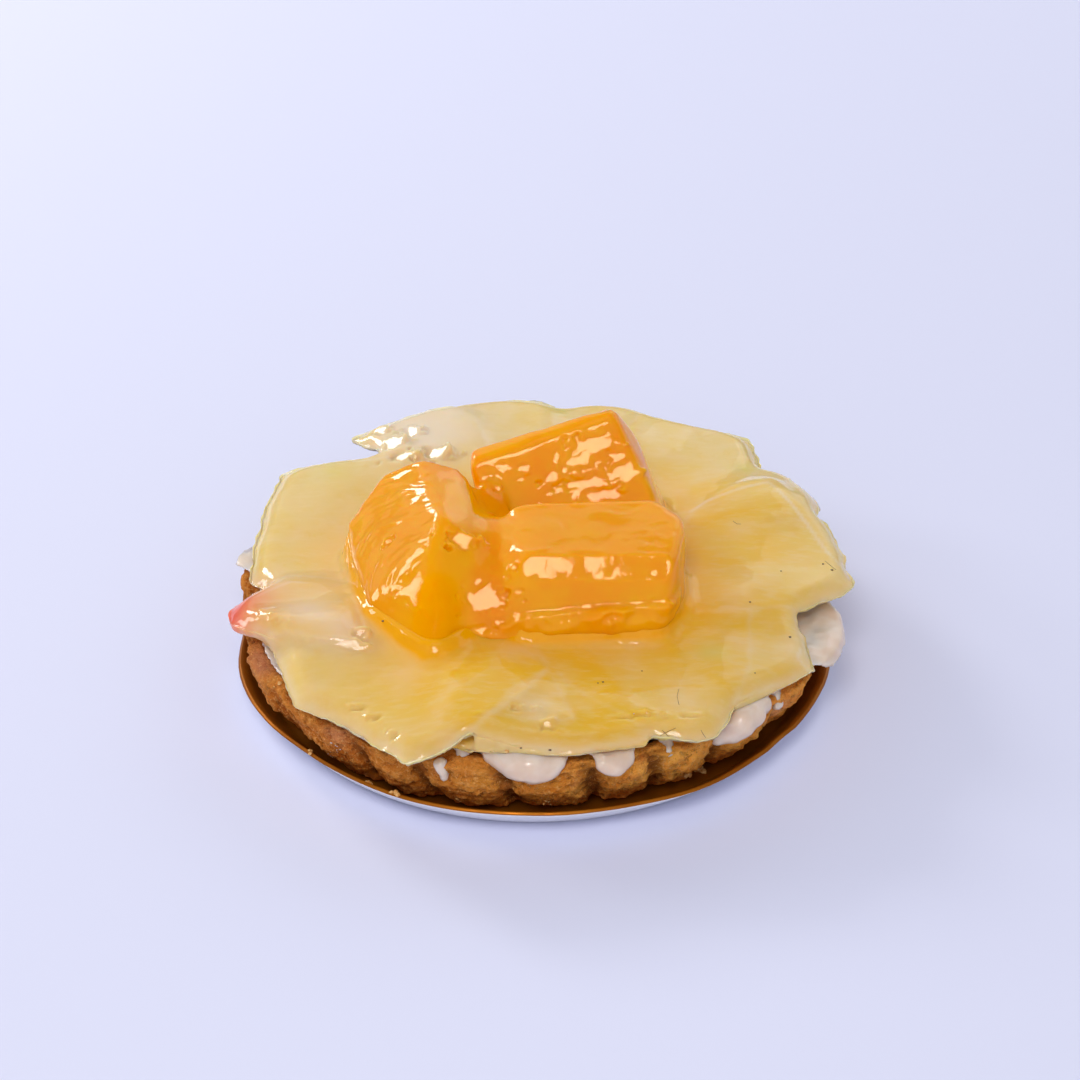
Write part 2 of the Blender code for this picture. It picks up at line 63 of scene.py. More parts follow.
IMAGE = 1080.0  # pixels a side
CAMERA_DISTANCE = 436.0 * MM
CAMERA_HEIGHT_ANGLE = math.radians(35.0)
CAMERA_WIDTH_ANGLE = math.radians(20.0)
FOCAL = 0.5 * IMAGE / math.tan(0.5 * CAMERA_WIDTH_ANGLE)  # pixels
ORIGIN_PIXEL = (532.0, 658.0)  # where the middle of the tray's underside lies in the picture
AIM_UP = math.atan((ORIGIN_PIXEL[1] - 0.5 * IMAGE) / FOCAL)
AIM_RIGHT = math.atan((0.5 * IMAGE - ORIGIN_PIXEL[0]) / FOCAL)
EYE = Vector((0.0, -math.cos(CAMERA_HEIGHT_ANGLE), math.sin(CAMERA_HEIGHT_ANGLE))) * CAMERA_DISTANCE

BLOCK_FOOT = 18.0 * MM  # height of the slices round the blocks
FLOOR_COLOUR = (0.74, 0.75, 0.90)
WORLD_COLOUR = (0.86, 0.88, 1.0)
WORLD_FRONT, WORLD_BACK = 1.0, 0.26  # strength of the light from in front and from behind
WORLD_TURN = (-0.9, 0.1)  # where, as the direction's Y, the one goes over into the other
# Lamps: degrees round from +X, height angle in degrees, distance, width and height, radiance.
LAMPS = {
    "softbox_front": (-97.0, 51.0, 0.58, (0.19, 0.17), 12.0),
    "lamp_left": (163.0, 23.0, 0.60, (0.146, 0.146), 9.0),
    "softbox_left": (148.0, 32.0, 0.62, (0.56, 0.47), 0.5),
    "softbox_right": (50.0, 28.0, 0.65, (0.70, 0.58), 0.78),
    "lamp_back": (133.0, 27.5, 0.70, (0.18, 0.18), 15.0),
    "panel_back": (96.0, 33.0, 0.80, (1.07, 0.47), 0.6),
    "softbox_top": (0.0, 86.0, 0.60, (0.34, 0.34), 0.8),
}


def make_camera():
    """The camera, aimed so that the tart stands in the frame as it does in the picture."""
    data = bpy.data.cameras.new("camera")
    data.angle = CAMERA_WIDTH_ANGLE
    data.clip_start = 0.01
    data.clip_end = 20.0
    camera = bpy.data.objects.new("camera", data)
    camera.location = EYE
    camera.rotation_euler = (0.5 * math.pi - CAMERA_HEIGHT_ANGLE + AIM_UP, 0.0, -AIM_RIGHT)
    bpy.context.scene.collection.objects.link(camera)
    bpy.context.scene.camera = camera


def lamp_way(name):
    """The way from the tart to a lamp."""
    around, up = (math.radians(angle) for angle in LAMPS[name][:2])
    return Vector((math.cos(around) * math.cos(up), math.sin(around) * math.cos(up), math.sin(up)))


def mirror_normal(name, place):
    """How a surface faces at a place if the camera sees a lamp mirrored there."""
    place = Vector(place)
    to_lamp = (lamp_way(name) * LAMPS[name][2] - place).normalized()
    return np.array((to_lamp + (EYE - place).normalized()).normalized())


def make_lamp(name, spec):
    """A lamp with a round face that points at the tart."""
    distance, (width, height), radiance = spec[2:]
    data = bpy.data.lights.new(name, "AREA")
    data.shape = "ELLIPSE"
    data.size = width
    data.size_y = height
    data.energy = radiance * math.pi * (0.25 * math.pi * width * height)
    lamp = bpy.data.objects.new(name, data)
    way = lamp_way(name)
    lamp.location = way * distance
    lamp.rotation_euler = way.to_track_quat("Z", "Y").to_euler()
    bpy.context.scene.collection.objects.link(lamp)


def ray_through(pixel):
    """The way from the camera through a pixel of the picture."""
    turn = bpy.context.scene.camera.rotation_euler.to_matrix()
    x, y = pixel
    return (turn @ Vector((x - 0.5 * IMAGE, 0.5 * IMAGE - y, -FOCAL))).normalized()


# ---------------------------------------------------------------- working on meshes

def coordinates(mesh):
    """The mesh's points as an array."""
    flat = np.empty(3 * len(mesh.vertices))
    mesh.vertices.foreach_get("co", flat)
    return flat.reshape(-1, 3)


def normals(mesh):
    """The mesh's normals at its points as an array."""
    flat = np.empty(3 * len(mesh.vertices))
    mesh.vertices.foreach_get("normal", flat)
    return flat.reshape(-1, 3)


def place(mesh, points):
    """Moves the mesh's points."""
    mesh.vertices.foreach_set("co", np.ascontiguousarray(points).ravel())
    mesh.update()


def paint(mesh, **layers):
    """Keeps numbers for each point under names that materials can read."""
    for name, values in layers.items():
        attribute = mesh.attributes.new(name, "FLOAT", "POINT")
        attribute.data.foreach_set("value", np.ascontiguousarray(values, dtype=np.float32))


def smoothed(mesh, points, turns):
    """The points after each has moved half-way to the mean of its neighbours, several times over."""
    pairs = np.empty(2 * len(mesh.edges), dtype=np.int32)
    mesh.edges.foreach_get("vertices", pairs)
    pairs = pairs.reshape(-1, 2)
    here = np.concatenate((pairs[:, 0], pairs[:, 1]))
    there = np.concatenate((pairs[:, 1], pairs[:, 0]))
    count = np.bincount(here, minlength=len(points))[:, None]
    for _ in range(turns):
        total = [np.bincount(here, points[there, axis], len(points)) for axis in range(3)]
        mean = np.stack(total, axis=1) / np.maximum(count, 1)
        points = points + 0.5 * (mean - points)
    return points


def hashed(cells, salt):
    """A repeatable number from -1 to 1 for each whole-number cell."""
    mixed = cells[:, 0] * 73856093 ^ cells[:, 1] * 19349663 ^ cells[:, 2] * 83492791 ^ salt * 2654435761
    mixed = (mixed ^ (mixed >> 13)) * 1274126177
    mixed = (mixed ^ (mixed >> 16)) & 0xFFFFFF
    return mixed / float(0x7FFFFF) - 1.0


def lumps(points, size, seed=0):
    """Smooth unevenness of about -1 to 1 at each point, on lumps of a size that may differ by axis."""
    where = points / np.asarray(size) + 0.37 * seed
    cell = np.floor(where).astype(np.int64)
    part = where - cell
    ease = part * part * part * (part * (part * 6.0 - 15.0) + 10.0)
    total = np.zeros(len(points))
    for corner in itertools.product((0, 1), repeat=3):
        step = np.array(corner)
        at = cell + step
        slope = np.stack([hashed(at, 3 * seed + axis + 1) for axis in range(3)], axis=1)
        weight = np.prod(np.where(step, ease, 1.0 - ease), axis=1)
        total += weight * np.sum(slope * (part - step), axis=1)
    return total * 1.7


def relief(points, layers):
    """Unevenness in layers: height in mm, size of the lumps in mm, and seed."""
    return sum(height * MM * lumps(points, size * MM, seed) for height, size, seed in layers)


def ramped(values, low, high):
    """0 below low, 1 above high and smooth between them."""
    share = np.clip((values - low) / (high - low), 0.0, 1.0)
    return share * share * (3.0 - 2.0 * share)


def blurred(values, reach):
    """A map after a soft blur."""
    steps = np.arange(-int(3 * reach), int(3 * reach) + 1)
    weights = np.exp(-0.5 * (steps / max(reach, 0.01)) ** 2)
    weights /= weights.sum()
    for axis in (0, 1):
        total = np.zeros_like(values)
        for step, weight in zip(steps, weights):
            total += weight * np.roll(values, step, axis)
        values = total
    return values


JOIN_WITHIN = 0.002 * MM


def joined(node):
    """A copy of a CAD node's mesh whose split corners are joined again."""
    work = bmesh.new()
    work.from_mesh(frame["nodes"][node].data)
    bmesh.ops.remove_doubles(work, verts=work.verts, dist=JOIN_WITHIN)
    bmesh.ops.recalc_face_normals(work, faces=work.faces)
    return mesh_from(work, node)


def remeshed(mesh, voxel):
    """The same solid in small even faces."""
    holder = bpy.data.objects.new("holder", mesh)
    bpy.context.scene.collection.objects.link(holder)
    change = holder.modifiers.new("even", "REMESH")
    change.mode = "VOXEL"
    change.voxel_size = voxel
    graph = bpy.context.evaluated_depsgraph_get()
    even = bpy.data.meshes.new_from_object(holder.evaluated_get(graph))
    bpy.data.objects.remove(holder)
    return even


def mesh_from(work, name):
    """The mesh under construction, finished."""
    mesh = bpy.data.meshes.new(name)
    work.to_mesh(mesh)
    work.free()
    return mesh


def tree_of(mesh):
    """A search tree of a mesh's faces."""
    return BVHTree.FromPolygons([v.co for v in mesh.vertices], [tuple(p.vertices) for p in mesh.polygons])


def tree_over(*pieces):
    """One search tree of several pieces."""
    work = bmesh.new()
    for piece in pieces:
        work.from_mesh(piece.data)
    return BVHTree.FromBMesh(work)


RIDGE_LOSS = 0.15  # how much of a ridge glaze takes away as it settles


def filled(mesh, turns):
    """Lets a coat of glaze settle: hollows fill and steps soften, while ridges mostly stay."""
    for _ in range(turns):
        points, facing = coordinates(mesh), normals(mesh)
        step = smoothed(mesh, points, 4) - points
        inward = np.minimum(np.sum(step * facing, axis=1), 0.0)
        place(mesh, points + step - facing * ((1.0 - RIDGE_LOSS) * inward)[:, None])


FAR = 0.1  # how far above or below the tart's foot a ray starts that goes down or up
DOWN, UP = Vector((0.0, 0.0, -1.0)), Vector((0.0, 0.0, 1.0))


def height_map(tree, corner, step, rows, columns, way=DOWN):
    """The heights at which rays on a grid meet a surface, or 0 where there is nothing."""
    heights = np.zeros((rows, columns))
    for row, column in itertools.product(range(rows), range(columns)):
        start = Vector((corner[0] + column * step, corner[1] + row * step, -FAR * way.z))
        hit = tree.ray_cast(start, way)[0]
        if hit is not None:
            heights[row, column] = hit.z
    return heights


def settled(work, name, voxel, turns, settles):
    """The mesh under construction in even faces, smoothed and under a coat of glaze."""
    mesh = remeshed(mesh_from(work, name), voxel)
    place(mesh, smoothed(mesh, coordinates(mesh), turns))
    filled(mesh, settles)
    return mesh


def landed(pixel, tree):
    """Where the camera's ray through a pixel of the picture meets a surface, or passes close by it."""
    way = ray_through(pixel)
    hit = tree.ray_cast(EYE, way)[0]
    if hit is None:
        hit = tree.find_nearest(EYE + way * ((BLOCK_FOOT - EYE.z) / way.z))[0]
    return np.array(hit)


def line_through(pixels, tree):
    """The pixels' places on a surface."""
    return [landed(pixel, tree) for pixel in pixels]


def off_line(points, line):
    """For each point, the way to it from the nearest place on a line of points."""
    best = np.full(len(points), np.inf)
    way = np.zeros_like(points)
    for start, end in zip(line, line[1:]):
        whole = end - start
        share = np.clip((points - start) @ whole / max(whole @ whole, 1e-12), 0.0, 1.0)
        offset = points - start - share[:, None] * whole
        far = np.linalg.norm(offset, axis=1)
        closer = far < best
        best[closer] = far[closer]
        way[closer] = offset[closer]
    return way


def from_line(points, pixels, surface):
    """How far each point is from a line drawn over a surface."""
    return np.linalg.norm(off_line(points, line_through(pixels, surface)), axis=1)


def spot(points, centre, reach):
    """1 at a place, falling smoothly with distance from it."""
    return np.exp(-np.sum((points - centre) ** 2, axis=1) / reach ** 2)


def spots(points, surface, marks):
    """The sum of soft spots on a surface: pixel column and row, reach in mm, and strength."""
    total = np.zeros(len(points))
    for column, row, reach, share in marks:
        total += share * spot(points, landed((column, row), surface), reach * MM)
    return total


def strokes(points, surface, marks):
    """The sum of soft lines on a surface: pixels along them, half-width in mm, and strength."""
    total = np.zeros(len(points))
    for pixels, half, share in marks:
        far = from_line(points, pixels, surface)
        total += share * (1.0 - ramped(far, 0.4 * (half * MM), 1.6 * (half * MM)))
    return total


FINE_WAVE, FINE_SIZE = 0.22, 0.3  # height and size of the fine waves in the glaze against the broad ones


def waves(points, surface, patches, seed):
    """Uneven glaze: pixel column and row of its middle, then reach, height and lump size in mm."""
    total = np.zeros(len(points))
    for column, row, *sizes in patches:
        reach, height, size = (value * MM for value in sizes)
        rough = lumps(points, size, seed) + FINE_WAVE * lumps(points, FINE_SIZE * size, seed + 1)
        total += height * spot(points, landed((column, row), surface), reach) * rough
    return total


PATCH_RIPPLE = 0.030 * MM  # unevenness of a patch that catches a lamp
PATCH_CALM = 1.5 * MM  # half-height from which a patch has all of it
PATCH_EDGE = (0.75, 1.6)  # where a patch starts to end and has ended, in half-sizes
PATCH_BOX = 2.5  # the patch's reach, in half-sizes
COARSE, FINE = 1.1 * MM, 0.5 * MM  # lumps of a patch's outline and face


def tilted(points, facing, surface, patches):
    """How far glaze stands out so that small patches of it catch the light of a lamp."""
    raised = np.zeros(len(points))
    for lamp, column, row, *half in [(lamp, *patch) for lamp in patches for patch in patches[lamp]]:
        wide, high = (value * MM for value in half)
        centre = landed((column, row), surface)
        target = mirror_normal(lamp, centre)
        offset = points - centre
        close = np.linalg.norm(offset, axis=1) < PATCH_BOX * max(wide, high)
        here, near, face = points[close], offset[close], facing[close]
        sideways = near[:, 0]
        upward = np.sqrt(np.maximum(np.sum(near ** 2, axis=1) - sideways ** 2, 0.0))
        size = np.hypot(sideways / wide, upward / high)
        size = size * (1.0 + 0.6 * lumps(here, COARSE, 13)) + 0.25 * lumps(here, FINE, 14)
        share = (1.0 - ramped(size, *PATCH_EDGE)) * ramped(face @ target, 0.3, 0.6)
        ripple = lumps(here, COARSE, 15) + 0.3 * lumps(here, FINE, 17)
        wanted = PATCH_RIPPLE * min(1.0, high / PATCH_CALM) * ripple
        wanted = wanted - (near @ target) / np.maximum(face @ target, 0.4)
        raised[close] += share * (wanted - raised[close])
    return raised


FLAT_WAVE = (0.02, 2.6, 16)  # unevenness of an edge that is cut flat


def planed(points, cuts):
    """The points after edges have been cut flat."""
    for line, lamp, depth, reach in cuts:
        ends = [np.array(end) * MM for end in line]
        normal = mirror_normal(lamp, (ends[0] + ends[1]) / 2)
        offset = off_line(points, ends)
        close = np.linalg.norm(offset, axis=1) < reach
        wavy = depth + relief(points, [FLAT_WAVE])
        beyond = np.maximum(offset @ normal + wavy, 0.0) * close
        points = points - beyond[:, None] * normal
    return points


def add_heap(work, corner, step, top, bottom, where):
    """Adds a solid between two height maps to a mesh under construction, where a third map is true."""
    posts = {}
    for row, column in zip(*np.nonzero(where)):
        x, y = corner[0] + column * step, corner[1] + row * step
        posts[row, column] = (
            work.verts.new((x, y, top[row, column])), work.verts.new((x, y, bottom[row, column])),
        )
    partner = {upper: lower for upper, lower in posts.values()}
    made = []
    for row, column in posts:
        around = [(row, column), (row, column + 1), (row + 1, column + 1), (row + 1, column)]
        if all(key in posts for key in around):
            made.append(work.faces.new([posts[key][0] for key in around]))
            work.faces.new([posts[key][1] for key in reversed(around)])
    rim = {edge for face in made for edge in face.edges if len(edge.link_faces) == 1}
    for edge in rim:
        first, second = edge.verts
        work.faces.new((first, second, partner[second], partner[first]))
    loose = [vertex for pair in posts.values() for vertex in pair if not vertex.link_faces]
    bmesh.ops.delete(work, geom=loose, context="VERTS")
    bmesh.ops.recalc_face_normals(work, faces=work.faces)


def add_piece(name, mesh, finish, slot, *nodes):
    """A finished piece of the tart, in place of the solids it is named for."""
    mesh.shade_smooth()
    mesh.materials.clear()
    mesh.materials.append(finish)
    piece = bpy.data.objects.new(name, mesh)
    bpy.context.scene.collection.objects.link(piece)
    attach(piece, "root")
    if nodes:
        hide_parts(*nodes)
    return piece


def nearest(tree, points, reach):
    """Distance from each point to a tree's surface, at most the reach."""
    found = np.full(len(points), reach)
    for index, point in enumerate(points):
        hit = tree.find_nearest(Vector(point), reach)
        if hit[0] is not None:
            found[index] = hit[3]
    return found


# ---------------------------------------------------------------- materials

RANGE_INPUTS = ("Value", "From Min", "From Max", "To Min", "To Max")


class Finish:
    """A node material under construction."""

    def __init__(self, name):
        self.material = bpy.data.materials.new(name)
        self.material.use_nodes = True
        self.tree = self.material.node_tree
        self.shader = self.tree.nodes["Principled BSDF"]
        self.output = self.tree.nodes["Material Output"]
        self.place = self.add("ShaderNodeTexCoord").outputs["Object"]

    def feed(self, socket, value):
        """Links another node's output to a socket, or sets its value."""
        if isinstance(value, bpy.types.NodeSocket):
            self.tree.links.new(value, socket)
        elif isinstance(value, tuple) and len(value) == 3 and socket.type == "RGBA":
            socket.default_value = (*value, 1.0)
        else:
            socket.default_value = value

    def add(self, kind, inputs=None, **settings):
        """Adds a node."""
        made = self.tree.nodes.new(kind)
        for key, value in settings.items():
            setattr(made, key, value)
        for key, value in (inputs or {}).items():
            self.feed(made.inputs[key], value)
        return made

    def set(self, **inputs):
        """Sets the shader's inputs, with _ for a space in their names."""
        for key, value in inputs.items():
            self.feed(self.shader.inputs[key.replace("_", " ")], value)

    def painted(self, name):
        """A number that the mesh keeps for each point."""
        return self.add("ShaderNodeAttribute", attribute_name=name).outputs["Fac"]

    def noise(self, size, detail=3.0, rough=0.5, stretch=None):
        """Noise on lumps of a size in mm, stretched if wished."""
        where = self.place
        if stretch:
            where = self.add("ShaderNodeMapping", {"Vector": where, "Scale": stretch}).outputs["Vector"]
        inputs = {"Vector": where, "Scale": 1.0 / (size * MM), "Detail": detail, "Roughness": rough}
        return self.add("ShaderNodeTexNoise", inputs).outputs["Fac"]

    def cells(self, size):
        """Distance to scattered points of a mean spacing in mm."""
        inputs = {"Vector": self.place, "Scale": 1.0 / (size * MM)}
        return self.add("ShaderNodeTexVoronoi", inputs, feature="F1").outputs["Distance"]

    def ramp(self, value, low, high, start=0.0, end=1.0):
        """Moves a number smoothly from one range to another, and keeps it there."""
        made = self.add("ShaderNodeMapRange", interpolation_type="SMOOTHSTEP")
        for key, given in zip(RANGE_INPUTS, (value, low, high, start, end)):
            self.feed(made.inputs[key], given)
        return made.outputs["Result"]

    def mottle(self, low, high, most, *noise):
        """A share of 0 to the most where noise lies above a level: size in mm, detail and roughness."""
        return self.ramp(self.noise(*noise), low, high, 0.0, most)

    def scaled(self, name, factor):
        """A painted number times a factor."""
        inputs = {0: self.painted(name), 1: factor}
        return self.add("ShaderNodeMath", inputs, operation="MULTIPLY").outputs[0]

    def blend(self, share, first, second):
        """A colour between two."""
        inputs = {0: share, 6: first, 7: second}
        return self.add("ShaderNodeMix", inputs, data_type="RGBA").outputs[2]

    def coats(self, colour, *layers):
        """A colour under others, each with its share: a number or the name of a painted one."""
        for share, over in layers:
            colour = self.blend(self.painted(share) if isinstance(share, str) else share, colour, over)
        return colour

    def bump(self, distance, size, detail, rough=0.5, under=None):
        """A normal from noise: its height and size in mm, its detail and roughness."""
        inputs = {"Height": self.noise(size, detail, rough), "Distance": distance * MM}
        if under:
            inputs["Normal"] = under
        return self.add("ShaderNodeBump", inputs).outputs["Normal"]


def in_mm(*lengths):
    """Lengths given in mm, as a tuple."""
    return tuple(length * MM for length in lengths)


def apple_finish():
    """Thin, see-through apple under clear glaze."""
    f = Finish("apple_glazed")
    strands = f.ramp(f.noise(1.1, 3.0, 0.6, (0.35, 1.0, 1.0)), 0.42, 0.7, 0.0, 0.28)
    body = f.coats(
        (0.73, 0.525, 0.20), ("deep", (0.73, 0.42, 0.03)),
        (f.mottle(0.35, 0.7, 0.35, 6.0, 3.0), (0.70, 0.47, 0.07)),
        (strands, (0.77, 0.58, 0.27)),
        (f.mottle(0.5, 0.75, 0.4, 2.6, 4.0, 0.6), (0.69, 0.45, 0.07)),
        # The milky layer is partly painted sheen where the glaze shines.
        ("milky", (0.76, 0.61, 0.42)), ("green", (0.60, 0.55, 0.12)),
        ("warm", (0.86, 0.37, 0.0)), ("red", (0.74, 0.12, 0.07)),
    )
    wave = f.bump(0.02, 2.4, 2.0)
    f.set(
        Base_Color=body, Roughness=0.35, Specular_IOR_Level=0.0, Normal=wave,
        Subsurface_Weight=f.ramp(f.painted("foot"), 0.0, 1.0, 0.8, 0.12), Subsurface_Scale=0.6,
        Subsurface_Radius=in_mm(3.0, 2.0, 0.9), Coat_Weight=f.ramp(f.painted("matt"), 0.0, 1.0, 1.0, 0.1),
        Coat_Roughness=0.03, Coat_IOR=1.36, Coat_Normal=wave,
    )
    return f.material


def peach_finish():
    """Saturated orange peach flesh under glaze that takes its colour, with painted shade and sheen."""
    f = Finish("peach_glazed")
    body = f.coats(
        (0.86, 0.325, 0.0), (f.mottle(0.35, 0.7, 1.0, 7.0, 2.0), (0.86, 0.385, 0.0)),
        # The first layer on this line lightens the fibre-covered sides, for their real fibres and as painted
        # sheen.
        # The second layer on this line is painted shade: a deeper orange in the gaps between blocks and low
        # on them.
        ("fibrous", (0.86, 0.36, 0.012)), (f.scaled("sunk", 0.6), (0.86, 0.265, 0.0)),
    )
    f.set(
        Base_Color=body, Roughness=0.03, IOR=1.48, Specular_Tint=(1.0, 0.68, 0.46),
        Specular_IOR_Level=f.ramp(f.painted("matt"), 0.0, 1.0, 0.5, 0.02),
        Subsurface_Weight=f.ramp(f.painted("foot"), 0.0, 1.0, 0.85, 0.15), Subsurface_Scale=0.6,
        Subsurface_Radius=in_mm(5.0, 1.8, 0.2),
        Normal=f.bump(0.009, 0.6, 2.0, under=f.bump(0.02, 1.6, 2.0)),
    )
    return f.material


def crust_finish():
    """Crumbly baked shortcrust, painted shade in its hollows and painted light on its raised edges."""
    f = Finish("shortcrust_baked")
    # Darker on the left and lighter on the right.
    dark = f.blend(f.painted("bake"), (0.43, 0.095, 0.007), (1.0, 0.32, 0.032))
    light = f.blend(f.painted("bake"), (0.67, 0.175, 0.014), (1.0, 0.47, 0.075))
    body = f.coats(
        dark, (f.mottle(0.36, 0.66, 1.0, 5.0, 4.0, 0.6), light),
        (f.mottle(0.5, 0.65, 0.6, 0.6, 4.0, 0.7), (1.0, 0.52, 0.15)),
        (f.mottle(0.48, 0.36, 0.65, 0.9, 4.0, 0.7), (0.34, 0.085, 0.010)),
        # Painted light on the raised bits, and painted shade in the grooves and hollows.
        (f.scaled("proud", 0.5), (0.92, 0.37, 0.07)), (f.scaled("groove", 0.6), (0.26, 0.07, 0.008)),
        (f.scaled("hollow", 0.8), (0.14, 0.034, 0.005)),
        (f.mottle(0.5, 0.7, 0.4, 2.2, 3.0), (0.62, 0.19, 0.04)), ("pink", (0.66, 0.26, 0.15)),
        (f.ramp(f.cells(0.7), 0.16, 0.03, 0.0, 0.6), (0.20, 0.055, 0.008)),
        (f.mottle(0.62, 0.72, 0.55, 0.3, 2.0), (0.85, 0.46, 0.15)),
    )
    rough = f.bump(0.30, 0.3, 4.0, 0.75)
    rough = f.bump(0.50, 0.8, 4.0, 0.7, under=rough)
    f.set(
        Base_Color=body, Roughness=0.72, Subsurface_Weight=0.12, Subsurface_Scale=1.0,
        Subsurface_Radius=in_mm(1.0, 0.5, 0.2), Specular_IOR_Level=0.1, Specular_Tint=(1.0, 0.7, 0.4),
        Normal=f.bump(0.25, 1.6, 3.0, 0.6, under=rough),
    )
    return f.material


def cream_finish():
    """Soft white cream."""
    f = Finish("cream_soft")
    wave = f.bump(0.05, 1.2, 3.0)
    f.set(
        Base_Color=f.blend(f.mottle(0.35, 0.7, 1.0, 2.5, 3.0), (0.71, 0.54, 0.41), (0.76, 0.62, 0.50)),
        Roughness=0.3, Subsurface_Weight=0.9, Subsurface_Scale=1.0, Subsurface_Radius=in_mm(2.0, 1.6, 1.2),
        Specular_IOR_Level=0.5, Normal=wave, Coat_Weight=0.5, Coat_Roughness=0.12, Coat_Normal=wave,
    )
    return f.material


def tray_finish():
    """Card, gold foil on the side that faces up and white on the other."""
    f = Finish("card_gold_lined")
    facing = f.add("ShaderNodeNewGeometry").outputs["Normal"]
    upwards = f.add("ShaderNodeSeparateXYZ", {"Vector": facing}).outputs["Z"]
    foil = f.coats(
        (0.31, 0.090, 0.004), (f.mottle(0.35, 0.7, 1.0, 6.0, 4.0), (0.38, 0.125, 0.008)),
        (f.mottle(0.58, 0.75, 0.4, 0.7, 3.0), (0.30, 0.09, 0.01)),
    )
    card = f.blend(f.mottle(0.3, 0.8, 1.0, 0.5, 4.0), (0.76, 0.76, 0.80), (0.84, 0.84, 0.87))
    f.set(
        Base_Color=f.blend(f.ramp(upwards, 0.0, 0.02), card, foil), Specular_IOR_Level=0.1,
        Metallic=f.ramp(upwards, 0.0, 0.02, 0.0, 0.5), Normal=f.bump(0.03, 1.4, 3.0),
        Roughness=f.ramp(f.noise(3.0, 3.0), 0.3, 0.7, 0.32, 0.48),
    )
    return f.material


def grain_finish(name, colours, spread, noise, bump, **inputs):
    """Small grains in two colours: where noise goes from one to the other, the noise, the bump."""
    f = Finish(name)
    f.set(Base_Color=f.blend(f.mottle(*spread, 1.0, *noise), *colours), Normal=f.bump(*bump), **inputs)
    return f.material


def speck_finish():
    """Dark specks of fruit skin."""
    colours = (0.05, 0.025, 0.010), (0.16, 0.08, 0.03)
    return grain_finish("specks_dark", colours, (0.4, 0.6), (0.2, 2.0), (0.02, 0.1, 2.0), Roughness=0.4)


def crumb_finish():
    """Golden crumbs of the crust."""
    colours = (0.62, 0.28, 0.06), (0.88, 0.58, 0.24)
    gloss = {"Roughness": 0.7, "Specular_IOR_Level": 0.2}
    return grain_finish("crumbs_golden", colours, (0.35, 0.65), (0.5, 3.0), (0.06, 0.2, 3.0), **gloss)


def sugar_finish():
    """Clear grains of sugar."""
    colours = (0.80, 0.62, 0.48), (0.90, 0.84, 0.80)
    gloss = {"Roughness": 0.15, "Transmission_Weight": 0.3}
    return grain_finish("sugar_clear", colours, (0.35, 0.65), (0.3, 2.0), (0.03, 0.15, 2.0), **gloss)


def floor_finish():
    """The pale floor."""
    f = Finish("floor_pale")
    f.set(Base_Color=FLOOR_COLOUR, Roughness=0.9, Specular_IOR_Level=0.1)
    return f.material


# ---------------------------------------------------------------- peach blocks and the glaze between them

PEACH_VOXEL = 0.28 * MM
PEACH_TURNS, PEACH_SETTLES = 4, 6  # smoothing, and how often glaze settles
BLOCK_NEAR = 6.0 * MM
FOOT_FROM, FOOT_REACH = 0.2 * MM, 2.6 * MM  # near where blocks and slices meet they glow less inside
GAP_RANGE = (0.3 * MM, 1.6 * MM)  # distance from a block at which the glaze in a gap gets its painted shade
LOW_RANGE = (17.0 * MM, 22.0 * MM)  # heights between which a block's foot is painted a deeper orange as shade
BRIDGE_STEP = 0.5 * MM
BRIDGE_REACH = 18  # steps that glaze reaches from a block
BRIDGE_BLUR, BRIDGE_TURNS = 3.0, 10  # how the glaze levels the gaps: blur in steps, and repeats
BRIDGE_FULL, BRIDGE_END = 4.8 * MM, 7.2 * MM  # gaps up to the first width are full, past the second empty
BRIDGE_DROP = 0.5 * MM
BRIDGE_OUT, BRIDGE_OUT_RANGE = (-0.6, 0.8), (8.5 * MM, 12.0 * MM)  # the way out at the back, where it thins
BRIDGE_FLOOR, BRIDGE_GROUND = 13.0 * MM, 17.4 * MM
# For each block: a point in mm on the axis that its fibres lie round, the way of that axis, the way that
# its fibrous sides face and how squarely they do.
PEACH_FIBRES = {
    "peach_block_left": ((-13.5, -13.0, 20.0), (0.1, -0.85, 0.5), (-0.62, 0.32, 0.72), 0.72),
    "peach_block_front": ((0.0, -8.0, 12.0), (1.0, -0.08, 0.0), (0.0, 0.1, 1.0), 0.90),
    "peach_block_back": ((0.0, 9.0, 14.0), (0.95, 0.15, 0.25), (-0.1, 0.55, 0.83), 0.80),
}
FIBRE_SPACING, FIBRE_HEIGHT = 0.75 * MM, 0.15 * MM
FIBRE_EDGE, FIBRE_FADE = 0.08, (0.5 * MM, 1.2 * MM)  # how softly the fibrous sides end
FIBRE_WANDER = ((0.5, 4.0, 5),)  # as relief
FIBRE_RUN = 0.10  # how much slower the strands change along their length
FIBRE_BREAK = 3.0 * MM  # spacing of the breaks in them
# Relief of the blocks: height and size in mm, and seed.
PEACH_RELIEF = ((0.13, 6.5, 1), (0.045, 2.2, 2))
# Places where the glaze on a block is uneven: pixel of the middle, reach, height and lump size in mm.
PEACH_WAVES = (
    (592, 462, 4.6, 0.12, 1.6), (500, 476, 3.2, 0.12, 1.6), (525, 574, 3.2, 0.16, 1.5),
    (487, 600, 2.8, 0.16, 1.6), (655, 540, 3.0, 0.15, 1.2), (430, 540, 1.6, 0.05, 0.7),
    (412, 560, 1.6, 0.05, 0.7), (394, 582, 1.6, 0.05, 0.7),
)
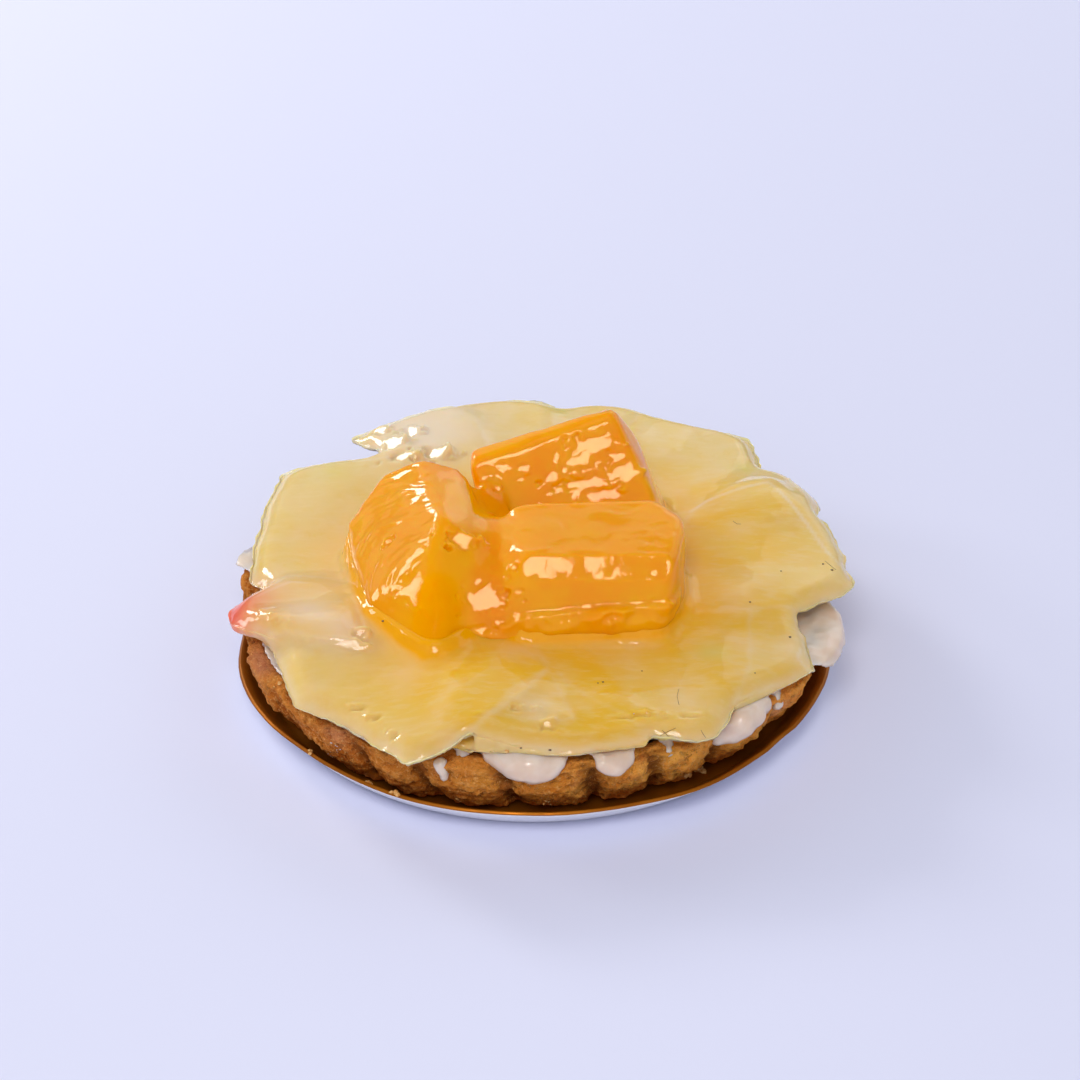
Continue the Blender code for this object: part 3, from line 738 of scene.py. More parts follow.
# Patches of the glaze that catch a lamp: pixel, half-width and half-height in mm.
PEACH_PATCHES = {
    "softbox_front": (
        (594, 444, 3.0, 1.0), (614, 458, 1.4, 0.8), (624, 474, 2.2, 1.2), (586, 484, 3.4, 0.7),
        (553, 477, 0.9, 0.8), (556, 459, 0.35, 1.0), (580, 461, 1.2, 0.9), (524, 468, 0.8, 0.6),
        (520, 480, 0.5, 0.4), (497, 488, 0.5, 0.4), (461, 540, 1.8, 1.0), (420, 611, 0.5, 0.3),
        (487, 600, 2.2, 1.3), (388, 541, 0.6, 0.6), (656, 573, 0.5, 0.4), (513, 568, 1.1, 0.35),
        (507, 578, 0.6, 0.35), (531, 573, 0.6, 0.35), (517, 592, 0.4, 0.4), (482, 630, 1.5, 0.5),
        (500, 623, 1.4, 0.35), (520, 617, 1.6, 0.35), (543, 614, 1.6, 0.32), (566, 611, 1.6, 0.32),
        (589, 608, 1.6, 0.32), (622, 606, 1.0, 0.32), (640, 604, 1.2, 0.32), (659, 602, 1.2, 0.32),
    ),
}
# Edges worn flat: ends in mm, the lamp that the flat mirrors, how deep it is cut and how far it reaches.
PEACH_FLATS = (
    (((-1.5, -16.2, 27.35), (18.0, -15.95, 26.75)), "softbox_front", 1.08 * MM, 3.2 * MM),
    (((-12.2, -10.8, 29.6), (-22.4, -13.0, 18.6)), "lamp_left", 0.16 * MM, 2.6 * MM),
)
# Lines where thicker glaze hangs on a block's side: pixels along its upper edge, and its thickness.
PEACH_SHELVES = (
    (((474, 634), (490, 627), (513, 619), (526, 614), (565, 611), (602, 606)), 0.60 * MM),
    (((614, 608), (640, 604), (668, 601)), 0.55 * MM),
)
SHELF_RISE, SHELF_FADE = (-0.35 * MM, 0.45 * MM), (2.2 * MM, 4.5 * MM)  # how it starts and how it ends
# Edges that glaze rounds off: pixels along them, the reach and how often their surroundings are smoothed.
SOFT_EDGES = (
    (((437, 560), (438, 600), (438, 640)), 6.0 * MM, 120),
    (((500, 561), (600, 556), (668, 562)), 3.4 * MM, 30),
    (((497, 530), (500, 570), (500, 625)), 6.5 * MM, 260),
    (((472, 560), (470, 600), (470, 640)), 5.5 * MM, 200),
    (((415, 464), (427, 500), (440, 524)), 2.4 * MM, 12),
    (((466, 470), (487, 500), (497, 515)), 3.6 * MM, 90),
)
# Places on the blocks where the glaze is too thin to shine: pixel, reach in mm and strength.
PEACH_MATT = (
    (438, 612, 3.0, 1.3), (438, 590, 2.5, 1.3), (432, 632, 3.0, 1.3),
)
# A slow bulge of the left block's front ridge: pixel, reach and height.
RIDGE_BULGE = ((438, 606), 4.5 * MM, 0.5 * MM)


def make_bridge(work, trees):
    """Adds the glaze that fills the gaps between the blocks, as a solid, to a mesh under construction."""
    margin = BRIDGE_REACH * BRIDGE_STEP
    boxes = [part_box(node) for node in PEACHES]
    low = [min(box[0][axis] for box in boxes) - margin for axis in (0, 1)]
    high = [max(box[1][axis] for box in boxes) + margin for axis in (0, 1)]
    columns, rows = (int((high[axis] - low[axis]) / BRIDGE_STEP) + 1 for axis in (0, 1))
    heights = [height_map(tree, low, BRIDGE_STEP, rows, columns) for tree in trees]
    steps = range(-BRIDGE_REACH, BRIDGE_REACH + 1)
    gaps = []
    for height in heights:
        gap = np.full(height.shape, np.inf)
        for over, sideways in itertools.product(steps, steps):
            near = np.roll(height, (over, sideways), (0, 1)) > 0.0
            gap = np.where(near, np.minimum(gap, math.hypot(over, sideways) * BRIDGE_STEP), gap)
        gaps.append(gap)
    gaps = np.sort(np.stack(gaps), axis=0)
    top = np.maximum(np.max(np.stack(heights), axis=0), BRIDGE_GROUND)
    for _ in range(BRIDGE_TURNS):
        top = np.maximum(top, blurred(top, BRIDGE_BLUR))
    share = 1.0 - ramped(gaps[0] + gaps[1], BRIDGE_FULL, BRIDGE_END)
    x, y = np.meshgrid(low[0] + np.arange(columns) * BRIDGE_STEP, low[1] + np.arange(rows) * BRIDGE_STEP)
    share = share * (1.0 - ramped(BRIDGE_OUT[0] * x + BRIDGE_OUT[1] * y, *BRIDGE_OUT_RANGE))
    top = BRIDGE_GROUND + (top - BRIDGE_GROUND) * share - BRIDGE_DROP
    add_heap(work, low, BRIDGE_STEP, top, np.full_like(top, BRIDGE_FLOOR), top > BRIDGE_GROUND)


def fibres(points, node, calm, near, owned):
    """The strands on one block's fibre-covered sides, and how much each point lies on those sides."""
    middle, axis, side, least = (np.array(value) for value in PEACH_FIBRES[node])
    axis, side = axis / np.linalg.norm(axis), side / np.linalg.norm(side)
    mask = ramped(calm @ side, least - FIBRE_EDGE, least + FIBRE_EDGE) * owned
    mask = mask * (1.0 - ramped(near, *FIBRE_FADE))
    arm = points - middle * MM
    away = np.linalg.norm(arm - (arm @ axis)[:, None] * axis, axis=1) + relief(points, FIBRE_WANDER)
    across = np.stack((away, FIBRE_RUN * arm[:, 0], FIBRE_RUN * arm[:, 1]), axis=1)
    strands = lumps(across, FIBRE_SPACING, 7) + 0.5 * lumps(across, 0.5 * FIBRE_SPACING, 8)
    return mask, strands * ramped(lumps(points, FIBRE_BREAK, 9), -0.5, 0.3)


def make_peaches(around, finish):
    """The three blocks in one coat of glaze that fills the gaps between them."""
    solids = [joined(node) for node in PEACHES]
    trees = [tree_of(mesh) for mesh in solids]
    work = bmesh.new()
    make_bridge(work, trees)
    for mesh in solids:
        work.from_mesh(mesh)
    mesh = settled(work, "blocks", PEACH_VOXEL, PEACH_TURNS, PEACH_SETTLES)
    points, surface = coordinates(mesh), tree_of(mesh)
    for pixels, reach, turns in SOFT_EDGES:
        share = 1.0 - ramped(from_line(points, pixels, surface), 0.35 * reach, reach)
        points = points + share[:, None] * (smoothed(mesh, points, turns) - points)
    place(mesh, planed(points, PEACH_FLATS))

    surface = tree_of(mesh)
    points, facing = coordinates(mesh), normals(mesh)
    near = np.stack([nearest(tree, points, BLOCK_NEAR) for tree in trees])
    owner = np.argmin(near, axis=0)
    calm = smoothed(mesh, facing, 6)
    fibrous = np.zeros(len(points))
    raised = relief(points, PEACH_RELIEF)
    raised += RIDGE_BULGE[2] * spot(points, landed(RIDGE_BULGE[0], surface), RIDGE_BULGE[1])
    for number, node in enumerate(PEACHES):
        mask, strands = fibres(points, node, calm, near[number], owner == number)
        raised += FIBRE_HEIGHT * mask * strands
        # The fibre-covered sides are painted lighter, for their fibres and as painted sheen.
        fibrous += mask * np.clip(0.55 + 0.5 * strands, 0.0, 1.0)
    raised += waves(points, surface, PEACH_WAVES, 11)
    for pixels, thick in PEACH_SHELVES:
        way = off_line(points, line_through(pixels, surface))
        fade = 1.0 - ramped(np.linalg.norm(way, axis=1), *SHELF_FADE)
        uneven = 1.0 + 0.5 * lumps(points, 1.5 * MM, 12)
        raised += thick * uneven * ramped(-way[:, 2], *SHELF_RISE) * fade
    place(mesh, points + facing * raised[:, None])
    points = coordinates(mesh)
    lift = tilted(points, calm, tree_of(mesh), PEACH_PATCHES)
    place(mesh, planed(points + calm * lift[:, None], PEACH_FLATS[:1]))
    # Painted shade: the glaze in the gaps between blocks and the blocks' lower parts get a deeper orange.
    gap = ramped(near.min(axis=0), *GAP_RANGE)
    low = 1.0 - ramped(points[:, 2], *LOW_RANGE)
    foot = nearest(around, coordinates(mesh), FOOT_REACH)
    paint(
        mesh, fibrous=np.clip(fibrous, 0.0, 1.0), sunk=np.clip(np.maximum(gap, 0.6 * low), 0.0, 1.0),
        foot=1.0 - ramped(foot, FOOT_FROM, FOOT_REACH),
        matt=np.clip(spots(points, surface, PEACH_MATT), 0.0, 1.0),
    )
    return add_piece("peach_blocks_glazed", mesh, finish, "peach", *PEACHES)


# ---------------------------------------------------------------- apple slices under their glaze

TOPPING_VOXEL = 0.42 * MM
TOPPING_TURNS, TOPPING_SETTLES = 8, 4  # smoothing, and how often glaze settles
GLAZE_COAT = 0.2 * MM  # clear glaze over every slice, which closes the gaps between them
FILL_BLUR, FILL_TURNS = 5.0, 9  # glaze that levels the steps between slices: blur in map steps, repeats
FILL_DEPTH = 1.0 * MM
HOLE_REACH, HOLE_BLUR = 26.0 * MM, 14.0  # gaps between the slices' inner ends, which glaze fills
HOLE_LEVEL = 14.0 * MM  # the least height of that glaze
KEPT_STEP, KEPT_REACH = (-34.0 * MM, -15.0 * MM), 8.0 * MM  # the step below the wedge, which stays sharp
BLOCKS_WITHIN = 32.0 * MM  # the blocks lie at most so far from the middle along either axis
SKIRT_BLUR, SKIRT_DEPTH = 3.0, 0.7 * MM  # how far round a block's foot glaze reaches, and how deep in it
WALL_RISE, WALL_FADE = 0.8 * MM, 1.3 * MM  # glaze that climbs the blocks
WALL_CHECK = 0.5 * MM  # height above the slices at which the distance to a block is taken
WARM_REACH, WARM_FADE, WARM_RIM = 24.0 * MM, 6.0 * MM, 0.9 * MM  # how far the blocks tint the slices
BRIDGE_FADE = 5.0 * MM  # the same between two blocks
RIM_THINNING = 1.3 * MM  # how much thinner the slices' outer edges are than their middles
DEEP_RANGE = (0.8 * MM, 4.6 * MM)  # thickness of apple from which the colour deepens, and is deepest
# Blurs in map steps: of heights past the edge, seams, nearness to the edge, the same wider, and thickness.
MARGIN_BLUR, SEAM_BLUR, OUTER_BLUR, BROAD_BLUR, AMOUNT_BLUR = 2.0, 0.8, 3.0, 6.0, 1.8
# Relief of the slices and of their rims: height and size in mm, and seed.
APPLE_RELIEF = ((0.10, 7.0, 21), (0.03, 2.6, 22))
RIM_RELIEF = ((0.24, 2.3, 23), (0.12, 1.0, 27))
# Places where the glaze on the slices is uneven: pixel of the middle, reach, height and lump size in mm.
APPLE_WAVES = (
    (392, 437, 3.6, 0.12, 2.2), (430, 452, 3.2, 0.1, 2.0), (264, 613, 2.4, 0.2, 1.5),
    (290, 622, 2.4, 0.2, 1.5),
)
# Places where it is too thin to shine: pixel, reach in mm and strength.
APPLE_MATT = (
    (478, 729, 2.0, 1.3), (288, 658, 2.0, 1.3), (291, 678, 2.0, 1.3), (296, 698, 2.0, 1.3),
)
# Patches of the glaze that catch a lamp: pixel, half-width and half-height in mm.
APPLE_PATCHES = {
    "lamp_back": (
        (381, 430, 1.5, 1.0), (393, 442, 1.5, 1.7), (413, 432, 1.2, 1.1), (405, 456, 2.6, 0.8),
        (437, 453, 2.0, 1.3),
    ),
    "lamp_left": (
        (258, 613, 0.6, 0.3), (267, 615, 0.7, 0.3), (280, 619, 0.6, 0.3),
    ),
    "softbox_front": (
        (332, 657, 0.4, 0.3), (362, 634, 0.9, 1.0), (358, 648, 1.4, 0.9), (347, 644, 0.6, 0.5),
        (356, 707, 0.9, 0.45), (371, 717, 1.0, 0.5), (391, 735, 0.6, 0.4), (548, 724, 0.8, 0.9),
        (626, 716, 1.1, 0.5), (641, 713, 1.1, 0.5), (665, 716, 0.6, 0.4), (693, 715, 0.7, 0.4),
        (480, 714, 0.6, 0.4), (518, 707, 0.6, 0.4), (535, 710, 0.5, 0.4),
    ),
}
# Tints of the slices: pixel, reach in mm and strength. Gold deepens the colour and a negative strength pales
# it; in front of the front block it is painted light over the block's shade.
GOLD = (
    (690, 650, 12.0, 0.6), (560, 680, 9.0, 0.4), (480, 690, 9.0, 1.0), (640, 720, 9.0, 0.4),
    (770, 610, 7.0, 0.5), (760, 540, 6.0, 0.2), (655, 470, 5.0, 0.3), (420, 700, 6.0, 0.3),
    (460, 420, 8.0, -0.5), (700, 440, 7.0, -0.2), (300, 540, 8.0, -0.2), (370, 700, 6.0, 0.3),
    (340, 630, 5.0, -0.5), (580, 748, 8.0, 0.7), (785, 680, 5.0, 0.5), (540, 705, 2.6, -0.7),
    (515, 650, 2.2, -0.4),
)
# Paler spots; the large one at the back left and the one on the wedge's lower edge are painted sheen where
# the glaze shines.
MILKY = (
    (345, 628, 3.6, 0.8), (308, 610, 4.5, 0.9), (335, 586, 4.0, 0.4), (270, 585, 3.5, 0.4),
    (540, 708, 3.0, 0.5), (512, 650, 2.4, 0.4), (425, 430, 9.0, 1.0), (690, 700, 3.0, 0.2),
    (735, 600, 3.0, 0.3), (800, 630, 3.0, 0.3),
)
GREEN = (
    (559, 410, 1.6, 0.5), (744, 468, 1.8, 0.4), (712, 652, 2.4, 0.5), (330, 470, 4.0, 0.25),
)
# Pale lines where one slice ends over another, and golden streaks: pixels, half-width in mm and strength.
PALE_LINES = (
    (
        ((690, 512), (705, 502), (745, 487), (768, 482), (785, 497), (808, 525), (828, 553), (850, 580)),
        0.32, 0.45,
    ),
    (((823, 600), (812, 640), (810, 672)), 0.3, 0.35),
    (((545, 672), (512, 690), (500, 707), (460, 750)), 0.55, 0.2),
    (((245, 590), (290, 582), (355, 578)), 0.3, 0.35), (((352, 445), (400, 455), (425, 458)), 0.3, 0.35),
    (((722, 607), (757, 611)), 0.25, 0.25),
)
STREAKS = (
    (((540, 668), (568, 679), (596, 688)), 0.28, 0.9), (((549, 666), (575, 680), (599, 690)), 0.22, 0.7),
    (((635, 690), (668, 686), (700, 686)), 0.3, 0.5), (((735, 702), (760, 699)), 0.26, 0.5),
)
RED_TIP = Vector((-42.5, -10.5, 14.5)) * MM
RED_REACH = 6.5 * MM
MAP_STEP = 0.3 * MM
MAP_HALF = 50.1 * MM
MAP_SIZE = int(2 * MAP_HALF / MAP_STEP) + 1


def whole_map(tree, way):
    """The heights over the whole tart at which rays meet a surface on their way down or up."""
    return height_map(tree, (-MAP_HALF, -MAP_HALF), MAP_STEP, MAP_SIZE, MAP_SIZE, way)


def read_map(values, points):
    """The map's values under the points."""
    where = (points[:, :2] + MAP_HALF) / MAP_STEP
    cell = np.clip(np.floor(where).astype(int), 0, values.shape[0] - 2)
    column, row = cell[:, 0], cell[:, 1]
    x, y = np.clip(where - cell, 0.0, 1.0).T
    near = values[row, column] * (1 - x) + values[row, column + 1] * x
    far = values[row + 1, column] * (1 - x) + values[row + 1, column + 1] * x
    return near * (1 - y) + far * y


def slice_maps(solids):
    """Seen from above: how much apple lies at each place, and which slice is uppermost."""
    amount, height = np.zeros((MAP_SIZE, MAP_SIZE)), np.zeros((MAP_SIZE, MAP_SIZE))
    owner = np.zeros((MAP_SIZE, MAP_SIZE), dtype=int)
    for number, mesh in enumerate(solids.values()):
        top, bottom = (whole_map(tree_of(mesh), way) for way in (DOWN, UP))
        amount += top - bottom
        owner[top > height] = number + 1
        height = np.maximum(height, top)
    return amount, height, owner


def mean_of(values, share, reach):
    """The blurred mean of a map over the places that have a share in it."""
    return blurred(values * share, reach) / np.maximum(blurred(share.astype(float), reach), 1e-3)


def levelled(height, inside):
    """The height map after glaze has filled the low side of each step."""
    for _ in range(FILL_TURNS):
        height = np.where(inside, np.maximum(height, mean_of(height, inside, FILL_BLUR)), 0.0)
    return height


def skirted(blocks, height):
    """The height map raised under the blocks and round their feet, so that no gap stays there."""
    for tree in blocks:
        under = whole_map(tree, UP)
        foot = mean_of(under, under > 0.0, SKIRT_BLUR) + SKIRT_DEPTH
        covered = blurred((under > 0.0).astype(float), SKIRT_BLUR)
        height = height + ramped(covered, 0.12, 0.55) * np.maximum(foot - height, 0.0)
    return height


def climbing(blocks, height, inside):
    """How far glaze climbs above the slices round the blocks, as a map."""
    rise = np.zeros_like(height)
    rows, columns = np.nonzero(inside)
    x, y = columns * MAP_STEP - MAP_HALF, rows * MAP_STEP - MAP_HALF
    places = np.stack((x, y, height[rows, columns] + WALL_CHECK), axis=1)
    close = np.maximum(np.abs(x), np.abs(y)) < BLOCKS_WITHIN
    for tree in blocks:
        gap = nearest(tree, places[close], BLOCK_NEAR)
        rise[rows[close], columns[close]] += WALL_RISE * np.exp(-gap / WALL_FADE)
    return rise


def slices_in_glaze(blocks):
    """The slices and the glaze over them as one mesh, and the maps that their tints are read from."""
    solids = {node: joined(node) for node in APPLES}
    amount, height, owner = slice_maps(solids)
    grid = np.arange(height.shape[0]) * MAP_STEP - MAP_HALF
    x, y = np.meshgrid(grid, grid)
    hole = (owner == 0) & (np.hypot(x, y) < HOLE_REACH)
    filling = np.maximum(mean_of(height, owner > 0, HOLE_BLUR), HOLE_LEVEL)
    height = np.where(hole, filling, height)
    owner = np.where(hole, -1, owner)
    inside = owner != 0
    margin = mean_of(height, inside, MARGIN_BLUR)
    edge = inside & ((owner != np.roll(owner, 1, 0)) | (owner != np.roll(owner, 1, 1)))

    glazed = np.where(inside, skirted(blocks, levelled(height, inside)), 0.0)
    kept = np.exp(-((x - KEPT_STEP[0]) ** 2 + (y - KEPT_STEP[1]) ** 2) / KEPT_REACH ** 2)
    glazed = np.where(inside, glazed + (height - glazed) * kept, margin)
    height = np.where(inside, height, margin)
    glazed += climbing(blocks, glazed, inside) + GLAZE_COAT
    work = bmesh.new()
    thick = inside & (hole | (glazed > height + 1.3 * GLAZE_COAT))
    add_heap(work, (-MAP_HALF, -MAP_HALF), MAP_STEP, glazed, height - FILL_DEPTH, thick)
    for mesh in solids.values():
        place(mesh, coordinates(mesh) + normals(mesh) * GLAZE_COAT)
        work.from_mesh(mesh)
    maps = {
        "amount": blurred(amount, AMOUNT_BLUR),
        "seam": blurred(edge.astype(float), SEAM_BLUR),
        "within": blurred(inside.astype(float), OUTER_BLUR),
        "broad": blurred(inside.astype(float), BROAD_BLUR),
    }
    return settled(work, "coated", TOPPING_VOXEL, TOPPING_TURNS, TOPPING_SETTLES), maps


def make_topping(blocks, finish):
    """All the slices in one coat of glaze, which levels their steps and climbs the blocks."""
    mesh, maps = slices_in_glaze(blocks)
    points, facing = coordinates(mesh), normals(mesh)
    rim = 1.0 - ramped(np.abs(facing[:, 2]), 0.3, 0.8)
    thin = 1.0 - ramped(read_map(maps["broad"], points), 0.5, 0.97)
    points[:, 2] -= RIM_THINNING * thin * ramped(facing[:, 2], -0.2, 0.5)
    raised = relief(points, APPLE_RELIEF) + rim * relief(points, RIM_RELIEF)
    raised += waves(points, tree_of(mesh), APPLE_WAVES, 25)
    place(mesh, points + facing * raised[:, None])
    points, surface = coordinates(mesh), tree_of(mesh)
    lift = tilted(points, facing, surface, APPLE_PATCHES)
    place(mesh, points + facing * lift[:, None])
    points = coordinates(mesh)

    closest = np.sort(np.stack([nearest(tree, points, WARM_REACH) for tree in blocks]), axis=0)
    warm = 0.62 * np.exp(-closest[0] / WARM_FADE) + np.exp(-(closest[0] / WARM_RIM) ** 2)
    warm += 1.4 * np.exp(-(closest[0] + closest[1]) / BRIDGE_FADE)
    # Deeper colour where the apple is thick, at the tints and streaks, and on the steep rims, painted gold
    # over their shade.
    deep = ramped(read_map(maps["amount"], points), *DEEP_RANGE) + 0.2 * rim
    deep += spots(points, surface, GOLD) + strokes(points, surface, STREAKS)
    outer = 1.0 - ramped(read_map(maps["within"], points), 0.55, 0.98)
    # Paler at the edges, seams, spots and pale lines; some spots are painted sheen.
    milky = 0.4 * outer * (1.0 - 0.6 * rim) + 0.35 * read_map(maps["seam"], points)
    milky += 0.25 * np.clip(lumps(points, 5.0 * MM, 24), 0.0, 1.0)
    milky += spots(points, surface, MILKY) + strokes(points, surface, PALE_LINES)
    away = np.linalg.norm(points - np.array(RED_TIP), axis=1)
    paint(
        mesh, warm=np.clip(warm, 0.0, 1.0), foot=1.0 - ramped(closest[0], FOOT_FROM, FOOT_REACH),
        matt=np.clip(spots(points, surface, APPLE_MATT), 0.0, 1.0), deep=np.clip(deep, 0.0, 1.25),
        green=spots(points, surface, GREEN), milky=np.clip(milky, 0.0, 1.0),
        red=np.clip(1.2 * np.exp(-(away / RED_REACH) ** 2), 0.0, 1.0),
    )
    return add_piece("apple_slices_glazed", mesh, finish, "apple", *APPLES)


# ---------------------------------------------------------------- crust, cream and tray

CRUST_VOXEL = 0.42 * MM
GROOVE_LEVEL, GROOVE_DEPTH = 0.6 * MM, 0.12 * MM  # heights compared at a time, and the grooves' extra depth
GROOVE_FULL = 0.7 * MM  # how far inside the wall's mean radius a groove is deepest
CRUST_SHRINK = 0.22 * MM  # makes up for the crumbs that stand out
# Relief of the crust: height and size in mm, and seed. The second kind has sharp hollows.
CRUST_RELIEF = ((0.30, 2.2, 60), (0.24, 0.75, 63))
CRUST_CRACKS = ((0.34, 1.2, 61),)
PIT_SPACING, PIT_DEPTH = 1.3 * MM, 0.35 * MM
CRUST_WIDE = 90  # smoothing whose result tells what is sunk and what is proud
SUNK_RANGE, PROUD_RANGE = (-0.05 * MM, 0.55 * MM), (0.1 * MM, 0.6 * MM)
BAKE_RANGE = (-34.0 * MM, 26.0 * MM)  # the crust is coloured darker on the left, lighter on the right
# Crumbs stained pink: pixel, reach in mm and strength.
PINK_CRUMBS = (
    (258, 655, 2.2, 1.0), (262, 668, 2.0, 1.0), (776, 712, 2.6, 1.0), (335, 735, 1.8, 1.0),
)


def grooves(points, facing):
    """How much each point of the wall lies in a groove between two flutes."""
    radius = np.hypot(points[:, 0], points[:, 1])
    outside = facing[:, :2] * points[:, :2]
    outside = outside.sum(axis=1) / np.maximum(radius, 1e-6) > 0.35
    level = np.clip((points[:, 2] / GROOVE_LEVEL).astype(int), 0, 63)
    count = np.bincount(level[outside], minlength=64)
    mean = np.bincount(level[outside], weights=radius[outside], minlength=64) / np.maximum(count, 1)
    return ramped(mean[level] - radius, 0.0, GROOVE_FULL) * outside


def make_crust(finish):
    """The shell with crumbs standing out of its surface and deep shade between its flutes."""
    mesh = remeshed(joined("crust_shell"), CRUST_VOXEL)
    points = smoothed(mesh, coordinates(mesh), 3)
    place(mesh, points)
    facing = normals(mesh)
    groove, surface = grooves(points, facing), tree_of(mesh)
    raised = relief(points, CRUST_RELIEF) + np.abs(relief(points, CRUST_CRACKS))
    raised -= GROOVE_DEPTH * groove + CRUST_SHRINK
    pits = ramped(lumps(points, PIT_SPACING, 62), 0.42, 0.62)
    raised -= PIT_DEPTH * pits
    place(mesh, points + facing * raised[:, None])
    wide = smoothed(mesh, coordinates(mesh), CRUST_WIDE)
    sunk = np.sum((wide - coordinates(mesh)) * facing, axis=1)
    # Painted shade in hollows, pits and grooves, and painted light on raised bits.
    paint(
        mesh, hollow=np.clip(ramped(sunk, *SUNK_RANGE) + 0.4 * pits, 0.0, 0.92),
        proud=ramped(-sunk, *PROUD_RANGE), groove=groove, bake=ramped(points[:, 0], *BAKE_RANGE),
        pink=np.clip(0.45 * spots(points, surface, PINK_CRUMBS), 0.0, 0.6),
    )
    return add_piece("crust_shell_baked", mesh, finish, "shortcrust", "crust_shell")


CREAM_VOXEL = 0.45 * MM
CREAM_TURNS, CREAM_SETTLES = 4, 2
# Relief of the cream: height and size in mm, and seed.
CREAM_RELIEF = ((0.22, 3.0, 70), (0.12, 1.3, 71))
# Where cream has squeezed out and run: pixel and radius in mm.
CREAM_DRIPS = (
    (440, 764, 0.9), (443, 770, 0.8), (444, 776, 0.7), (463, 757, 0.9), (492, 754, 1.1), (506, 760, 1.6),
    (518, 764, 1.9), (533, 768, 1.9), (546, 767, 1.5), (559, 762, 0.9), (603, 763, 1.1), (614, 766, 1.3),
    (626, 760, 1.1), (666, 745, 1.0), (669, 751, 0.8), (718, 736, 1.2), (730, 731, 1.6), (742, 723, 1.7),
    (752, 714, 1.7), (760, 704, 1.4), (774, 690, 1.0), (776, 697, 0.9), (777, 704, 0.8),
)
DRIP_SUNK, DRIP_WIDTH = 0.8, 1.25  # how many radii the drips lie sunk, and how much wider they are made


def make_cream(carriers, finish):
    """The cream, with soft edges and the drips that hang over the crust."""
    work = bmesh.new()
    work.from_mesh(joined("cream_filling"))
    for *pixel, radius in CREAM_DRIPS:
        radius *= DRIP_WIDTH * MM
        grown = bmesh.ops.create_icosphere(work, subdivisions=2, radius=radius)
        middle = Vector(landed(pixel, carriers)) + ray_through(pixel) * (DRIP_SUNK * radius)
        bmesh.ops.translate(work, verts=grown["verts"], vec=middle)
    mesh = settled(work, "cream", CREAM_VOXEL, CREAM_TURNS, CREAM_SETTLES)
    points, facing = coordinates(mesh), normals(mesh)
    place(mesh, points + facing * relief(points, CREAM_RELIEF)[:, None])
    return add_piece("cream_filling_soft", mesh, finish, "cream", "cream_filling")


# Dark specks in the glaze: pixel. Fine hairs: pixels along them.
SPECKS = (
    (598, 683), (603, 682), (790, 637), (755, 673), (521, 748), (550, 750), (642, 671), (823, 564),
    (832, 570), (781, 571), (750, 602), (383, 621), (422, 487),
)
SPECK_SIZE = 0.17 * MM
HAIRS = (
    ((679, 689), (677, 696), (679, 705)), ((662, 730), (667, 735), (672, 739)),
    ((660, 736), (667, 732), (676, 728)), ((701, 730), (703, 734), (706, 738)),
    ((825, 561), (831, 566), (836, 570)), ((733, 521), (737, 524), (741, 524)),
)
HAIR_RADIUS = 0.024 * MM
# Loose crumbs on the crust and on the tray's lip, and sugar: pixel, how many, how far they scatter, and
# their size, both in mm.
CRUMBS = (
    (690, 773, 16, 1.3, 0.5), (699, 770, 10, 0.8, 0.45), (760, 716, 6, 0.8, 0.35),
    (368, 788, 5, 0.5, 0.34), (397, 794, 5, 0.5, 0.36), (457, 799, 3, 0.4, 0.3), (548, 803, 5, 0.7, 0.26),
    (310, 752, 4, 0.8, 0.3), (505, 752, 5, 1.2, 0.3), (640, 772, 6, 2.2, 0.24), (270, 690, 6, 1.6, 0.34),
    (590, 790, 6, 2.5, 0.22),
)
SUGAR = (
    (338, 748, 16, 0.9, 0.17), (333, 757, 5, 0.5, 0.13), (636, 716, 2, 0.3, 0.12),
)


def make_specks(carriers, finish):
    """Dark specks and fine hairs that lie in the glaze."""
    work = bmesh.new()
    for number, pixel in enumerate(SPECKS):
        radius = SPECK_SIZE * (0.75 + 0.5 * (number % 3) / 2)
        grown = bmesh.ops.create_icosphere(work, subdivisions=2, radius=radius)
        bmesh.ops.scale(work, verts=grown["verts"], vec=(1.0, 0.8, 0.5))
        bmesh.ops.translate(work, verts=grown["verts"], vec=Vector(landed(pixel, carriers)))
    for pixels in HAIRS:
        line = [Vector(point) for point in line_through(pixels, carriers)]
        for start, end in zip(line, line[1:]):
            turn = (end - start).to_track_quat("Z", "Y").to_matrix().to_4x4()
            grown = bmesh.ops.create_cone(
                work, cap_ends=True, segments=6, depth=(end - start).length,
                radius1=HAIR_RADIUS, radius2=HAIR_RADIUS,
            )
            middle = Matrix.Translation((start + end) / 2 + Vector((0.0, 0.0, 0.5 * HAIR_RADIUS)))
            bmesh.ops.transform(work, verts=grown["verts"], matrix=middle @ turn)
    return add_piece("glaze_specks", mesh_from(work, "specks"), finish, "apple")


GRAIN_START, GRAIN_DROP = 1.2 * MM, 1.5 * MM  # a grain falls from so high, and at most so far below its group


